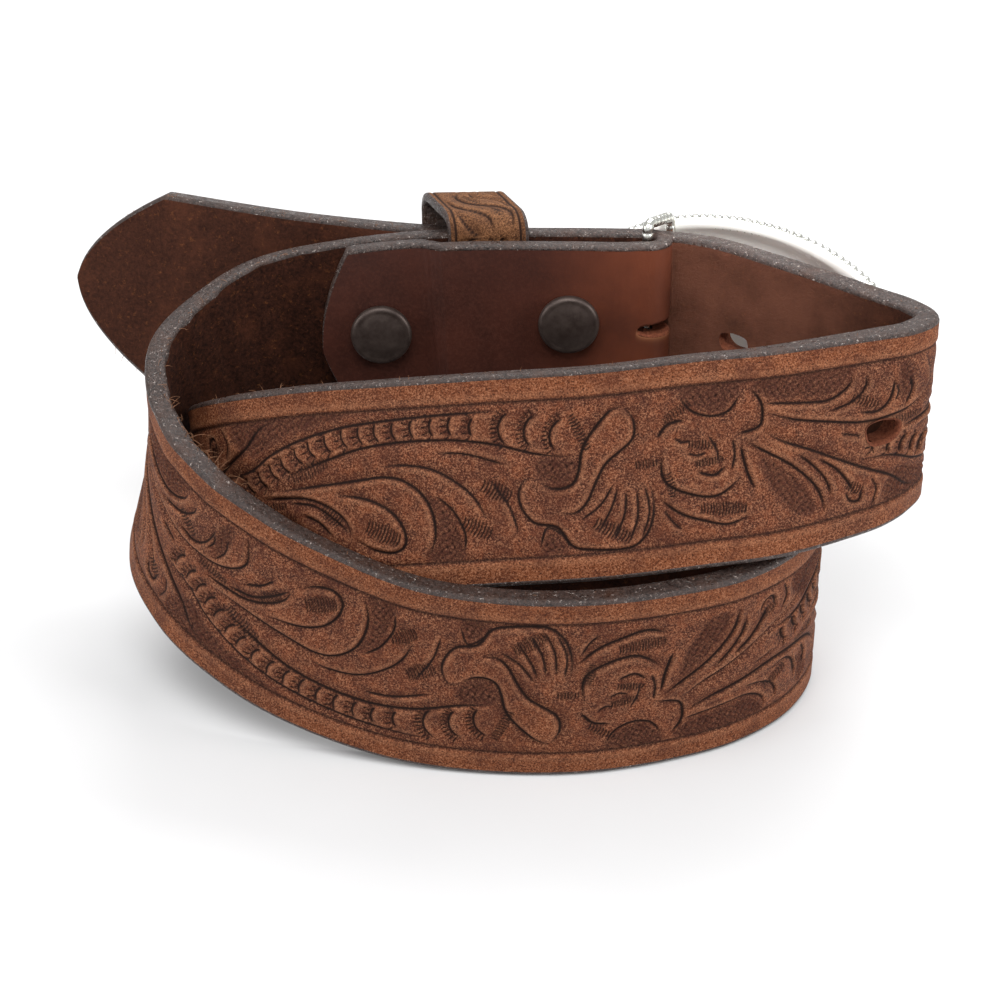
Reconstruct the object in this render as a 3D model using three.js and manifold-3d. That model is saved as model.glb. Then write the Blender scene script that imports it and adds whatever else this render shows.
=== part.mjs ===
// Western tooled belt: one leather strap coiled in two stacked turns, its plate buckle fastened.
// Millimetres, +Z up, origin on the floor under the middle of the coil. -Y is the front of the coil.
import * as THREE from 'three';
import { mergeVertices } from 'three/addons/utils/BufferGeometryUtils.js';
import Module from 'manifold-3d';

const wasm = await Module();
wasm.setup();

// Strap
const strapWidth = 38;
const strapThickness = 4.4;
const buckleEndThickness = 3.2;
const edgeBevel = 0.9;
const layerGap = 0.35;
const flapGap = 1.2;

// Coil, measured over the middle of the leather
const coilLength = 156;
const coilDepth = 70;
const coilCentreDepth = 42;

// Buckle end of the strap
const flapLength = 62;
const flapEndLength = 7.5;
const flapEndFullness = 0.6;
const skiveLength = 24;
const foldSlotReach = 1.7;
const foldSlotHeight = 3.6;
const slotRise = 2; // the slot at the fold sits this far above the strap's middle

// Free end of the strap
const noseLength = 17;
const noseFullness = 0.55;
const holeSpacing = 25.4;
const holeCount = 5;
const holeLength = 6.4;
const holeHeight = 4.2;
const firstHoleShare = 0.859; // place along the coil, in half coil lengths

// Keeper
const keeperWidth = 15;
const keeperThickness = 1.9;
const keeperRise = 2.4;
const keeperSlack = 3.7;
const keeperCorner = 3.4;
const keeperSkew = 5;
const keeperDrop = 3.5;
const keeperFromFold = 29.3;
const keeperEase = 2;

// Snaps
const snapCapRadius = 5.7;
const snapCapRise = 1.9;
const snapStemRadius = 2;
const snapHeadRadius = 4.2;
const snapHeadRise = 0.5;
const snapsFromFold = [14.5, 50];
const snapRises = [4, 2.2]; // above the strap's middle
const snapEase = 3;

// Buckle
const plateLength = 70;
const plateHeight = 44;
const plateSheet = 1.6;
const plateDome = 5;
const plateStandOff = 3.6;
const plateBendRadius = 210;
const rimRadius = 1.5;
const bailWireRadius = 1.05;
const bailTubeWall = 0.8;
const bailTubeLength = 20;
const bailOverhang = 1.45;
const bailCorner = 1.6;
const hookRadius = 1.25;
const hookTip = 2.2;
const hookBend = 1.2;
const hookShare = 0.42;

const snapSeatGap = 1;

const clearance = 0.35;
const layerPitch = (buckleEndThickness + strapThickness) / 2 + layerGap;

// The strap's route from the fold to the free end, one row for each place along the coil.
// across: place along the coil, in half coil lengths. deep: place from the front, in coil depths.
// foot: height of the strap's lower edge, in strap widths. lean: tilt of the top edge outward, degrees.
// layer: strap layers outside the buckle end.
const route = [
  // across, deep, foot, lean, layer
  [0.35, 0.916, 1.005, 6, 0],
  [0.154, 0.918, 1.005, 7, 0],
  [-0.128, 0.912, 1.0, 8, 0],
  [-0.36, 0.9, 0.955, 9, 0],
  [-0.55, 0.88, 0.885, 5, 0],
  [-0.675, 0.81, 0.81, -2, 0],
  [-0.775, 0.714, 0.72, -8, 0],
  [-0.815, 0.586, 0.6, -12, 0],
  [-0.798, 0.464, 0.49, -10, 0],
  [-0.72, 0.343, 0.365, -8, 0],
  [-0.583, 0.236, 0.225, -8, 0],
  [-0.423, 0.157, 0.11, -8, 0],
  [-0.218, 0.086, 0.02, -5, 0],
  [0, 0.045, 0, -3, 0],
  [0.205, 0.045, 0, -2, 0],
  [0.397, 0.093, 0, -1, 0],
  [0.551, 0.164, 0, 0, 0],
  [0.68, 0.293, 0, 0, 0],
  [0.737, 0.457, 0, 0, 0],
  [0.68, 0.62, 0, 0, 0],
  [0.487, 0.7, 0, 0, 0],
  [0.192, 0.715, 0, 0, 0],
  [-0.154, 0.72, 0, 0, 0],
  [-0.43, 0.73, 0.01, 0, 0],
  [-0.6, 0.7, 0.07, 0, 0],
  [-0.695, 0.61, 0.21, -6, 0],
  [-0.692, 0.51, 0.4, -13, 0],
  [-0.59, 0.4, 0.6, -18, 0],
  [-0.436, 0.325, 0.74, -20, 0],
  [-0.218, 0.255, 0.86, -20, 0],
  [0, 0.226, 0.93, -20.5, 0],
  [0.224, 0.225, 0.965, -20.5, 0],
  [0.449, 0.25, 1, -20.5, 0],
  [0.603, 0.282, 1, -18, 0],
  [0.769, 0.345, 1, -12, 0],
  [0.859, 0.388, 1, -8, 0],
  [0.923, 0.433, 1, -3, 0],
  [0.968, 0.5, 1, 0, 0],
  [0.938, 0.557, 1, 0, 0],
  [0.853, 0.623, 1, 1, 0],
  [0.641, 0.726, 0.995, 4, 1],
  [0.474, 0.855, 0.965, 7, 1],
  [0.282, 0.925, 0.925, 8, 1],
  [0.051, 0.938, 0.91, 9, 1],
  [-0.192, 0.942, 0.93, 11, 1],
  [-0.5, 0.965, 0.975, 14, 1],
  [-0.82, 1.055, 1.0, 16, 1],
  [-1.05, 1.13, 1.015, 17, 1],
];

const up = new THREE.Vector3(0, 0, 1);

function strapHeight(foot, lean) {
  const tilt = THREE.MathUtils.degToRad(Math.abs(lean));
  const halfHeight = (strapWidth / 2) * Math.cos(tilt) + (strapThickness / 2) * Math.sin(tilt);
  return foot * (strapWidth + layerGap) + halfHeight;
}

function routeRow([across, deep, foot, lean, layer]) {
  const x = (across * coilLength) / 2;
  const y = deep * coilDepth + layer * layerPitch - coilCentreDepth;
  return { place: new THREE.Vector3(x, y, strapHeight(foot, lean)), lean: THREE.MathUtils.degToRad(lean) };
}

// A smooth walk through the rows: tangents weigh each side by how near its row is.
function smoothRoute(rows, steps) {
  const knots = [0];
  rows.slice(1).forEach((row, i) => {
    knots.push(knots[i] + Math.sqrt(row.place.distanceTo(rows[i].place)));
  });
  const values = rows.map((row) => [row.place.x, row.place.y, row.place.z, row.lean]);
  const slope = (i, c) => (values[i + 1][c] - values[i][c]) / (knots[i + 1] - knots[i]);
  const last = rows.length - 1;
  const tangent = (i, c) => {
    if (i === 0) return slope(0, c);
    if (i === last) return slope(last - 1, c);
    const before = knots[i] - knots[i - 1];
    const after = knots[i + 1] - knots[i];
    return (slope(i - 1, c) * after + slope(i, c) * before) / (before + after);
  };
  const walk = [];
  for (let i = 0; i < last; i += 1) {
    const span = knots[i + 1] - knots[i];
    const count = i === last - 1 ? steps + 1 : steps;
    for (let k = 0; k < count; k += 1) {
      const t = k / steps;
      const point = values[i].map((start, c) => {
        const end = values[i + 1][c];
        const rise = 3 * t * t - 2 * t * t * t;
        const bend = t * (1 - t) * (1 - t) * tangent(i, c) - t * t * (1 - t) * tangent(i + 1, c);
        return start + (end - start) * rise + span * bend;
      });
      walk.push({ place: new THREE.Vector3(...point.slice(0, 3)), lean: point[3] });
    }
  }
  return walk;
}

// Each frame holds the middle of the leather, the way along it, the way across it and the grain side.
function framesAlong(walk) {
  return walk.map((spot, i) => {
    const before = walk[Math.max(i - 1, 0)].place;
    const after = walk[Math.min(i + 1, walk.length - 1)].place;
    const along = after.clone().sub(before).normalize();
    const upright = up.clone().addScaledVector(along, -up.dot(along)).normalize();
    const across = upright.applyAxisAngle(along, spot.lean);
    const grain = along.clone().cross(across);
    return { place: spot.place.clone(), along, across, grain };
  });
}

const stepsPerRow = 12;
const coilFrames = framesAlong(smoothRoute(route.map(routeRow), stepsPerRow));

// The buckle end folds round the bail wire, and its flap lies inside the strap with the keeper between.
const foldRadius = bailWireRadius + 1.4 * clearance + buckleEndThickness / 2;
const flapPitch = buckleEndThickness + flapGap;
const overKeeper = buckleEndThickness + keeperThickness + 5.2 * clearance;
const flapOffsets = [
  // distance from the fold, offset from the strap
  [0, 2 * foldRadius],
  [foldRadius * 2, overKeeper],
  [keeperFromFold + keeperWidth / 2 + keeperEase, overKeeper],
  [snapsFromFold[1] - snapCapRadius - snapEase, flapPitch],
  [flapLength + coilLength, flapPitch],
];

function flapOffset(distance) {
  const next = flapOffsets.findIndex(([start]) => start > distance);
  const [start, from] = flapOffsets[next - 1];
  const [end, to] = flapOffsets[next];
  return THREE.MathUtils.lerp(from, to, THREE.MathUtils.smoothstep(distance, start, end));
}

function withDistances(frames) {
  let distance = 0;
  return frames.map((frame, i) => {
    if (i > 0) distance += frame.place.distanceTo(frames[i - 1].place);
    return { ...frame, distance };
  });
}

function flapFrames() {
  const near = withDistances(coilFrames).filter((frame) => frame.distance < flapLength);
  return near.reverse().map((frame) => ({
    place: frame.place.clone().addScaledVector(frame.grain, -flapOffset(frame.distance)),
    along: frame.along.clone().negate(),
    across: frame.across,
    grain: frame.grain.clone().negate(),
  }));
}

const foldStart = coilFrames[0];
const wireCentre = foldStart.place.clone().addScaledVector(foldStart.grain, -foldRadius);

function foldFrames() {
  const steps = 8;
  const frames = [];
  for (let i = 1; i < steps; i += 1) {
    const turn = Math.PI * (1 - i / steps);
    const grain = foldStart.grain.clone().applyAxisAngle(foldStart.across, -turn);
    const along = foldStart.along.clone().applyAxisAngle(foldStart.across, -turn);
    const place = wireCentre.clone().addScaledVector(grain, foldRadius);
    frames.push({ place, along, across: foldStart.across.clone(), grain });
  }
  return frames;
}

const flap = flapFrames();
const fold = foldFrames();
const strapFrames = withDistances([...flap, ...fold, ...coilFrames]);
const coilStart = strapFrames[flap.length + fold.length].distance;
const flapStart = strapFrames[flap.length - 1].distance;
const strapLength = strapFrames[strapFrames.length - 1].distance;

function frameAt(distance) {
  const last = strapFrames.length - 1;
  const reached = strapFrames.findIndex((frame) => frame.distance >= distance);
  const next = reached < 0 ? last : Math.max(reached, 1);
  const a = strapFrames[next - 1];
  const b = strapFrames[next];
  const t = (distance - a.distance) / (b.distance - a.distance);
  return {
    place: a.place.clone().lerp(b.place, t),
    along: a.along.clone().lerp(b.along, t).normalize(),
    across: a.across.clone().lerp(b.across, t).normalize(),
    grain: a.grain.clone().lerp(b.grain, t).normalize(),
  };
}

// The buckle end is skived thinner; the leather is full again a little past the flap's end.
function thicknessAt(distance) {
  const full = THREE.MathUtils.smoothstep(distance, coilStart + flapLength, coilStart + flapLength + skiveLength);
  return THREE.MathUtils.lerp(buckleEndThickness, strapThickness, full);
}

function snapFrame(distance, rise) {
  const frame = frameAt(distance);
  frame.place.addScaledVector(frame.across, rise);
  return frame;
}

// The width narrows to a blunt end; a smaller fullness makes a rounder end.
function halfWidthAt(distance) {
  const bluntShare = 0.12;
  const ends = [
    { fromEnd: distance, length: flapEndLength, fullness: flapEndFullness },
    { fromEnd: strapLength - distance, length: noseLength, fullness: noseFullness },
  ];
  const shares = ends.map(({ fromEnd, length, fullness }) => {
    const share = Math.min(1, Math.max(fromEnd, 0) / length);
    return Math.max(share ** fullness, bluntShare);
  });
  return (strapWidth / 2) * Math.min(...shares);
}

// Cross-sections lie closer where the strap turns and where its ends narrow.
function stationDistances() {
  const longStep = 7;
  const turnStep = THREE.MathUtils.degToRad(13);
  const stations = [0];
  let last = strapFrames[0];
  strapFrames.forEach((frame) => {
    const gone = frame.distance - last.distance;
    const turned = frame.grain.angleTo(last.grain);
    const nearEnd = frame.distance < flapEndLength || strapLength - frame.distance < noseLength;
    const step = nearEnd ? longStep / 3 : longStep;
    if (gone > step || turned > turnStep) {
      stations.push(frame.distance);
      last = frame;
    }
  });
  if (strapLength - stations[stations.length - 1] > 0.5) stations.push(strapLength);
  return stations;
}

// A closed skin over rings of points that all have the same count, with flat ends.
function skinOverRings(rings, closedLoop = false) {
  const count = rings[0].length;
  const vertices = rings.flat();
  const indices = [];
  const joins = closedLoop ? rings.length : rings.length - 1;
  for (let i = 0; i < joins; i += 1) {
    const a = i * count;
    const b = ((i + 1) % rings.length) * count;
    for (let k = 0; k < count; k += 1) {
      const m = (k + 1) % count;
      indices.push(a + k, b + k, b + m, a + k, b + m, a + m);
    }
  }
  if (!closedLoop) {
    const end = (rings.length - 1) * count;
    for (let k = 1; k < count - 1; k += 1) {
      indices.push(0, k, k + 1);
      indices.push(end, end + k + 1, end + k);
    }
  }
  const geometry = new THREE.BufferGeometry();
  const numbers = vertices.flatMap((v) => [v.x, v.y, v.z]);
  geometry.setAttribute('position', new THREE.Float32BufferAttribute(numbers, 3));
  geometry.setIndex(indices);
  return geometry;
}

function bevelledSection(halfWidth, halfThickness) {
  const bevel = Math.min(edgeBevel, halfWidth * 0.4, halfThickness * 0.45);
  const inW = halfWidth - bevel;
  const inT = halfThickness - bevel;
  return [
    [inW, halfThickness],
    [halfWidth, inT],
    [halfWidth, -inT],
    [inW, -halfThickness],
    [-inW, -halfThickness],
    [-halfWidth, -inT],
    [-halfWidth, inT],
    [-inW, halfThickness],
  ];
}

function toSolid(geometry) {
  const bare = geometry.clone();
  bare.deleteAttribute('normal');
  bare.deleteAttribute('uv');
  const merged = mergeVertices(bare, 1e-4);
  const vertProperties = new Float32Array(merged.attributes.position.array);
  const triVerts = new Uint32Array(merged.index.array);
  return new wasm.Manifold(new wasm.Mesh({ numProp: 3, vertProperties, triVerts }));
}

function toGeometry(solid) {
  const mesh = solid.getMesh();
  const geometry = new THREE.BufferGeometry();
  geometry.setAttribute('position', new THREE.BufferAttribute(new Float32Array(mesh.vertProperties), 3));
  geometry.setIndex(new THREE.BufferAttribute(new Uint32Array(mesh.triVerts), 1));
  return geometry;
}

// A round-ended cutter through the strap, in one of the strap's frames.
function slotCutter(frame, length, height, depth = strapThickness * 2) {
  const radius = height / 2;
  const reach = Math.max(length / 2 - radius, 0);
  const outline = new THREE.Shape();
  outline.absarc(reach, 0, radius, -Math.PI / 2, Math.PI / 2, false);
  outline.absarc(-reach, 0, radius, Math.PI / 2, (3 * Math.PI) / 2, false);
  outline.closePath();
  const cutter = new THREE.ExtrudeGeometry(outline, { depth, bevelEnabled: false, curveSegments: 6 });
  cutter.translate(0, 0, -depth / 2);
  const basis = new THREE.Matrix4().makeBasis(frame.along, frame.across, frame.grain);
  cutter.applyMatrix4(basis.setPosition(frame.place));
  return toSolid(cutter);
}

// The size holes run from the first one in sight, past the hook, towards the free end.
const firstHole = (() => {
  const x = (firstHoleShare * coilLength) / 2;
  const beforeBend = strapFrames.filter((frame) => frame.distance < strapLength * 0.8);
  const nearest = beforeBend.reduce((best, frame) => (
    frame.place.z > strapWidth && Math.abs(frame.place.x - x) < Math.abs(best.place.x - x) ? frame : best
  ), strapFrames[0]);
  return nearest.distance;
})();
const holeDistances = Array.from({ length: holeCount }, (_, i) => firstHole + i * holeSpacing);

const snapPlaces = snapsFromFold.map((fromFold, i) => ({
  cap: flapStart - fromFold,
  post: coilStart + fromFold,
  rise: snapRises[i],
}));

function strapGeometry() {
  const rings = stationDistances().map((distance) => {
    const frame = frameAt(distance);
    return bevelledSection(halfWidthAt(distance), thicknessAt(distance) / 2).map(([v, w]) => (
      frame.place.clone().addScaledVector(frame.across, v).addScaledVector(frame.grain, w)
    ));
  });
  const stemHole = 2 * (snapStemRadius + clearance);
  const foldEnd = foldRadius + buckleEndThickness;
  const foldPlace = wireCentre.clone()
    .addScaledVector(foldStart.across, slotRise)
    .addScaledVector(foldStart.along, (foldSlotReach - foldEnd) / 2);
  const foldFrame = { ...foldStart, place: foldPlace };
  const cutters = [
    slotCutter(foldFrame, foldSlotReach + foldEnd, foldSlotHeight, foldRadius * 4),
    ...holeDistances.map((distance) => slotCutter(frameAt(distance), holeLength, holeHeight)),
    ...snapPlaces.map(({ cap, rise }) => slotCutter(snapFrame(cap, rise), stemHole, stemHole)),
    ...snapPlaces.map(({ post, rise }) => slotCutter(snapFrame(post, rise), stemHole, stemHole)),
  ];
  const whole = toSolid(skinOverRings(rings));
  return toGeometry(cutters.reduce((solid, cutter) => solid.subtract(cutter), whole));
}

// A wire along points that close on themselves or end flat; `side` is a direction square to the wire.
function wireGeometry(points, radius, side, closedLoop, sides = 8) {
  const rings = points.map((point, i) => {
    const before = points[closedLoop ? (i - 1 + points.length) % points.length : Math.max(i - 1, 0)];
    const after = points[closedLoop ? (i + 1) % points.length : Math.min(i + 1, points.length - 1)];
    const along = after.clone().sub(before).normalize();
    const first = side.clone().addScaledVector(along, -side.dot(along)).normalize();
    const second = along.clone().cross(first);
    return Array.from({ length: sides }, (_, k) => {
      const angle = (-2 * Math.PI * k) / sides;
      const spot = point.clone().addScaledVector(first, radius * Math.cos(angle));
      return spot.addScaledVector(second, radius * Math.sin(angle));
    });
  });
  return skinOverRings(rings, closedLoop);
}

function roundedLoop(corners, radius) {
  const points = [];
  corners.forEach((corner, i) => {
    const before = corners[(i - 1 + corners.length) % corners.length];
    const after = corners[(i + 1) % corners.length];
    const start = corner.clone().lerp(before, radius / corner.distanceTo(before));
    const end = corner.clone().lerp(after, radius / corner.distanceTo(after));
    points.push(...new THREE.QuadraticBezierCurve3(start, corner, end).getPoints(3));
  });
  return points;
}

function leather(name, color) {
  return new THREE.MeshStandardMaterial({ name, color, roughness: 0.72, metalness: 0 });
}

function metal(name, color, roughness) {
  return new THREE.MeshStandardMaterial({ name, color, roughness, metalness: 1 });
}

const tooledLeather = leather('tooled leather', 0x6b3a20);
const keeperLeather = leather('keeper leather', 0x8a5530);
const darkSteel = metal('dark steel', 0x3d3632, 0.4);
const brightPlate = metal('bright plate', 0xd8d8d4, 0.2);

function named(name, geometry, material) {
  const mesh = new THREE.Mesh(geometry, material);
  mesh.name = name;
  return mesh;
}

// Snaps: a low dome on the flap's grain side, and a flat head on the strap's grain side.
function snapGeometry(radius, rise, stemLength) {
  const seat = buckleEndThickness / 2 + snapSeatGap;
  const edge = rise * 0.45;
  const dome = new THREE.Path();
  dome.moveTo(0, seat + rise);
  dome.quadraticCurveTo(radius * 0.9, seat + rise, radius, seat + edge);
  const points = [
    ...dome.getPoints(5),
    new THREE.Vector2(radius, seat),
    new THREE.Vector2(snapStemRadius, seat),
    new THREE.Vector2(snapStemRadius, seat - stemLength),
    new THREE.Vector2(0, seat - stemLength),
  ];
  return new THREE.LatheGeometry(points.reverse(), 24);
}

function seatedAt(mesh, frame) {
  const basis = new THREE.Matrix4().makeBasis(frame.along.clone().negate(), frame.grain, frame.across);
  mesh.position.copy(frame.place);
  mesh.quaternion.setFromRotationMatrix(basis);
  return mesh;
}

function snapMeshes() {
  const stem = buckleEndThickness + snapSeatGap;
  return snapPlaces.flatMap(({ cap, post, rise }, i) => [
    seatedAt(
      named(`snap_cap_${i + 1}`, snapGeometry(snapCapRadius, snapCapRise, stem), darkSteel),
      snapFrame(cap, rise),
    ),
    seatedAt(
      named(`snap_post_${i + 1}`, snapGeometry(snapHeadRadius, snapHeadRise, stem), darkSteel),
      snapFrame(post, rise),
    ),
  ]);
}

// Keeper: a loop of thinner leather from between flap and strap, over the free end's layer.
function keeperMesh() {
  const frame = frameAt(coilStart + keeperFromFold);
  const half = keeperThickness / 2;
  const inner = -(buckleEndThickness / 2 + 2.5 * clearance + half);
  const outer = layerPitch + strapThickness / 2 + keeperSlack + clearance + half;
  const top = strapWidth / 2 + keeperRise + half;
  const bottom = -(strapWidth / 2 + keeperDrop + half);
  const corners = [
    new THREE.Vector3(0, inner, top),
    new THREE.Vector3(0, outer, top),
    new THREE.Vector3(0, outer, bottom),
    new THREE.Vector3(0, inner, bottom),
  ];
  const path = roundedLoop(corners, keeperCorner);
  const rings = path.map((point, i) => {
    const before = path[(i - 1 + path.length) % path.length];
    const after = path[(i + 1) % path.length];
    const along = after.clone().sub(before).normalize();
    const out = new THREE.Vector3(0, along.z, -along.y);
    const skew = (keeperSkew * (point.y - inner)) / (outer - inner);
    return [[-1, 1], [-1, -1], [1, -1], [1, 1]].map(([side, skin]) => {
      const spot = point.clone().addScaledVector(out, -skin * half);
      spot.x = (side * keeperWidth) / 2 - skew;
      return spot;
    });
  });
  return seatedAt(named('keeper', skinOverRings(rings, true), keeperLeather), frame);
}

// Buckle: its frame sits on the free end's layer, midway between the hook's hole and the fold.
const hookHole = holeDistances[1];
const hookFromMiddle = plateLength * hookShare;

function frameOver(start, end) {
  const [a, b] = [frameAt(start), frameAt(end)];
  const along = b.place.clone().sub(a.place).normalize();
  const across = a.across.clone().add(b.across);
  across.addScaledVector(along, -across.dot(along)).normalize();
  return { place: a.place.clone().lerp(b.place, 0.5), along, across, grain: along.clone().cross(across) };
}

const buckleFrame = frameOver(hookHole, hookHole + 2 * hookFromMiddle);
const buckleBasis = new THREE.Matrix4().makeBasis(
  buckleFrame.along.clone().negate(),
  buckleFrame.grain,
  buckleFrame.across,
).setPosition(buckleFrame.place);
const intoBuckle = buckleBasis.clone().invert();

// How far the free end's grain face bulges out of the buckle's frame, between hook and fold.
const strapBulge = (() => {
  const nearBuckle = strapFrames.filter(({ distance }) => (
    distance > hookHole - holeLength && distance < hookHole + 2 * hookFromMiddle + holeLength
  ));
  const faces = nearBuckle.flatMap((frame) => [-1, 1].map((side) => (
    frame.place.clone()
      .addScaledVector(frame.across, (side * strapWidth) / 2)
      .addScaledVector(frame.grain, strapThickness / 2)
      .applyMatrix4(intoBuckle).y
  )));
  return Math.max(...faces);
})();
const plateBack = strapBulge + plateStandOff;

const flatEdge = plateLength / 2 - 2 * rimRadius;

// Height of the dome's back over the rim, at a distance from the plate's middle.
function domeAt(fromMiddle) {
  return plateDome * (1 - (fromMiddle / flatEdge) ** 4);
}

function plateSolid() {
  const radius = plateLength / 2;
  const steps = 7;
  const domePoints = Array.from({ length: steps + 1 }, (_, i) => {
    const fromMiddle = (flatEdge * i) / steps;
    return new THREE.Vector2(fromMiddle, domeAt(fromMiddle));
  });
  const front = domePoints.map((point) => new THREE.Vector2(point.x, point.y + plateSheet));
  const rim = new THREE.Path();
  rim.absarc(radius - rimRadius, plateSheet, rimRadius, Math.PI, 0, true);
  const edge = new THREE.Vector2(radius, 0);
  const points = [...domePoints, edge, ...rim.getPoints(6).slice(1, -1).reverse(), ...front.reverse()];
  const plate = mergeVertices(new THREE.LatheGeometry(points, 48), 1e-4);
  plate.scale(1, 1, plateHeight / plateLength);
  const position = plate.attributes.position;
  for (let i = 0; i < position.count; i += 1) {
    const x = position.getX(i);
    position.setY(i, position.getY(i) + plateBack - (x * x) / (2 * plateBendRadius));
  }
  return toSolid(plate);
}

const bailInner = wireCentre.clone().applyMatrix4(intoBuckle);
const bailAcross = foldStart.across.clone().transformDirection(intoBuckle);
const bailReach = strapWidth / 2 + bailOverhang + bailWireRadius;
const bailBore = bailWireRadius + 1.8 * clearance;
const bailOuter = new THREE.Vector3(
  bailInner.x,
  strapBulge + clearance + bailBore + bailTubeWall,
  0,
);
const bailShoulder = strapBulge + clearance + bailWireRadius;

function tubeSolid(radius, length) {
  const tube = new THREE.CylinderGeometry(radius, radius, length, 12);
  tube.rotateX(Math.PI / 2);
  tube.translate(bailOuter.x, bailOuter.y, bailOuter.z);
  return toSolid(tube);
}

// The saddle is the solder between the bail's tube and the plate.
function saddleSolid() {
  const top = plateBack + domeAt(Math.abs(bailOuter.x)) + plateSheet / 2;
  const saddle = new THREE.BoxGeometry(2 * bailBore, top - bailOuter.y, bailTubeLength);
  saddle.translate(bailOuter.x, (top + bailOuter.y) / 2, 0);
  return toSolid(saddle);
}

function hookSolid() {
  const hole = frameAt(hookHole);
  const fromMiddle = Math.abs(hole.place.clone().applyMatrix4(intoBuckle).x);
  const hookRootHeight = plateBack + domeAt(fromMiddle) + plateSheet / 2;
  const inward = hole.grain.clone().negate();
  const depth = strapThickness / 2 + hookTip;
  const root = hole.place.clone().addScaledVector(inward, -hookRootHeight);
  const neck = hole.place.clone().addScaledVector(inward, depth - hookBend);
  const end = hole.place.clone().addScaledVector(inward, depth).addScaledVector(hole.along, -hookBend);
  const points = [root, neck, end].map((point) => point.applyMatrix4(intoBuckle));
  return toSolid(wireGeometry(points, hookRadius, new THREE.Vector3(0, 0, 1), false));
}

function buckleMeshes() {
  const plate = plateSolid()
    .add(tubeSolid(bailBore + bailTubeWall, bailTubeLength))
    .add(saddleSolid())
    .add(hookSolid())
    .subtract(tubeSolid(bailBore, bailTubeLength + 2 * bailBore));
  const corners = [1, -1].map((side) => [
    bailInner.clone().addScaledVector(bailAcross, side * bailReach),
    new THREE.Vector3(bailOuter.x, bailShoulder, side * bailReach),
    new THREE.Vector3(bailOuter.x, bailShoulder, side * (bailTubeLength / 2 + 4 * bailWireRadius)),
    new THREE.Vector3(bailOuter.x, bailOuter.y, side * (bailTubeLength / 2 + bailWireRadius)),
  ]);
  const wire = roundedLoop([...corners[0], ...corners[1].reverse()], bailCorner);
  const bail = wireGeometry(wire, bailWireRadius, new THREE.Vector3(1, 0, 0), true);
  const buckle = new THREE.Group();
  buckle.add(named('buckle_plate', toGeometry(plate), brightPlate), named('buckle_bail', bail, brightPlate));
  buckle.applyMatrix4(buckleBasis);
  return buckle;
}

const belt = new THREE.Group();
belt.add(named('strap', strapGeometry(), tooledLeather), keeperMesh(), ...snapMeshes(), buckleMeshes());

// The origin goes to the middle of the belt's footprint, on the floor.
const whole = new THREE.Box3().setFromObject(belt, true);
const middle = whole.getCenter(new THREE.Vector3());
belt.position.set(-middle.x, -middle.y, -whole.min.z);
belt.updateMatrixWorld(true);

export default belt;
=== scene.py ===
import math

import bpy
import numpy as np
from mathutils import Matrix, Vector


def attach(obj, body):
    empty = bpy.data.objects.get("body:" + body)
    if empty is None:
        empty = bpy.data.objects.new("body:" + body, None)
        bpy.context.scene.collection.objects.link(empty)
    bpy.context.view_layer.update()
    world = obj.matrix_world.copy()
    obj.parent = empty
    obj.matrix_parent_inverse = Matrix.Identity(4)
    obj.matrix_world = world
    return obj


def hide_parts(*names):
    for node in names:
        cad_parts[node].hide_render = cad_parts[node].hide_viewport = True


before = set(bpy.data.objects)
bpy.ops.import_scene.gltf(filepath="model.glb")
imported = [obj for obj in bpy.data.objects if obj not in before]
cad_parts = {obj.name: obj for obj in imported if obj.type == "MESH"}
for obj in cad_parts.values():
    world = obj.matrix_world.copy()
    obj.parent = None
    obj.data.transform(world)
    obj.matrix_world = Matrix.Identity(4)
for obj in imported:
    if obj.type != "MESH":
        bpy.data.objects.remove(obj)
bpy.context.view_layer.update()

# Sizes are in millimetres until a mesh is made.
MM = 0.001
STRAP_WIDTH = 38
STRAP_THICKNESS = 4.4
BUCKLE_END_THICKNESS = 3.2
LAYER_GAP = 0.35
COIL_HALF_LENGTH = 78
COIL_DEPTH = 70
COIL_CENTRE_DEPTH = 42
MODEL_SHIFT = np.array([2.4624, -0.9963, 0.0336])  # centres the belt's box and stands it on the floor
FOLD_RADIUS = 3.14
FOLD_STEPS = 32
FLAP_LENGTH = 62
FLAP_END = (7.5, 0.6)  # how far the end narrows, and how full its curve is
NOSE_END = (17, 0.55)
BLUNT_SHARE = 0.03
SKIVE_LENGTH = 24
EDGE_ROUND = 0.9
SLOT_RISE = 2
HOLE_LENGTH = 6.4
HOLE_HEIGHT = 4.2
HOLE_LIP = 0.45
HOLE_SQUARENESS = 2.7
HOLE_RISE = 0.3
HOLES_AT = (526.0, 551.4, 576.8, 602.2, 627.5)
HOOK_HOLE_AT = 551.4
SLOT_REACH = 1.7
SLOT_HEIGHT = 2.6
SNAPS_FROM_FOLD = (14.5, 50)
SNAP_RISES = (4, 2.2)
KEEPER_FROM_FOLD = 29.3

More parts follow.
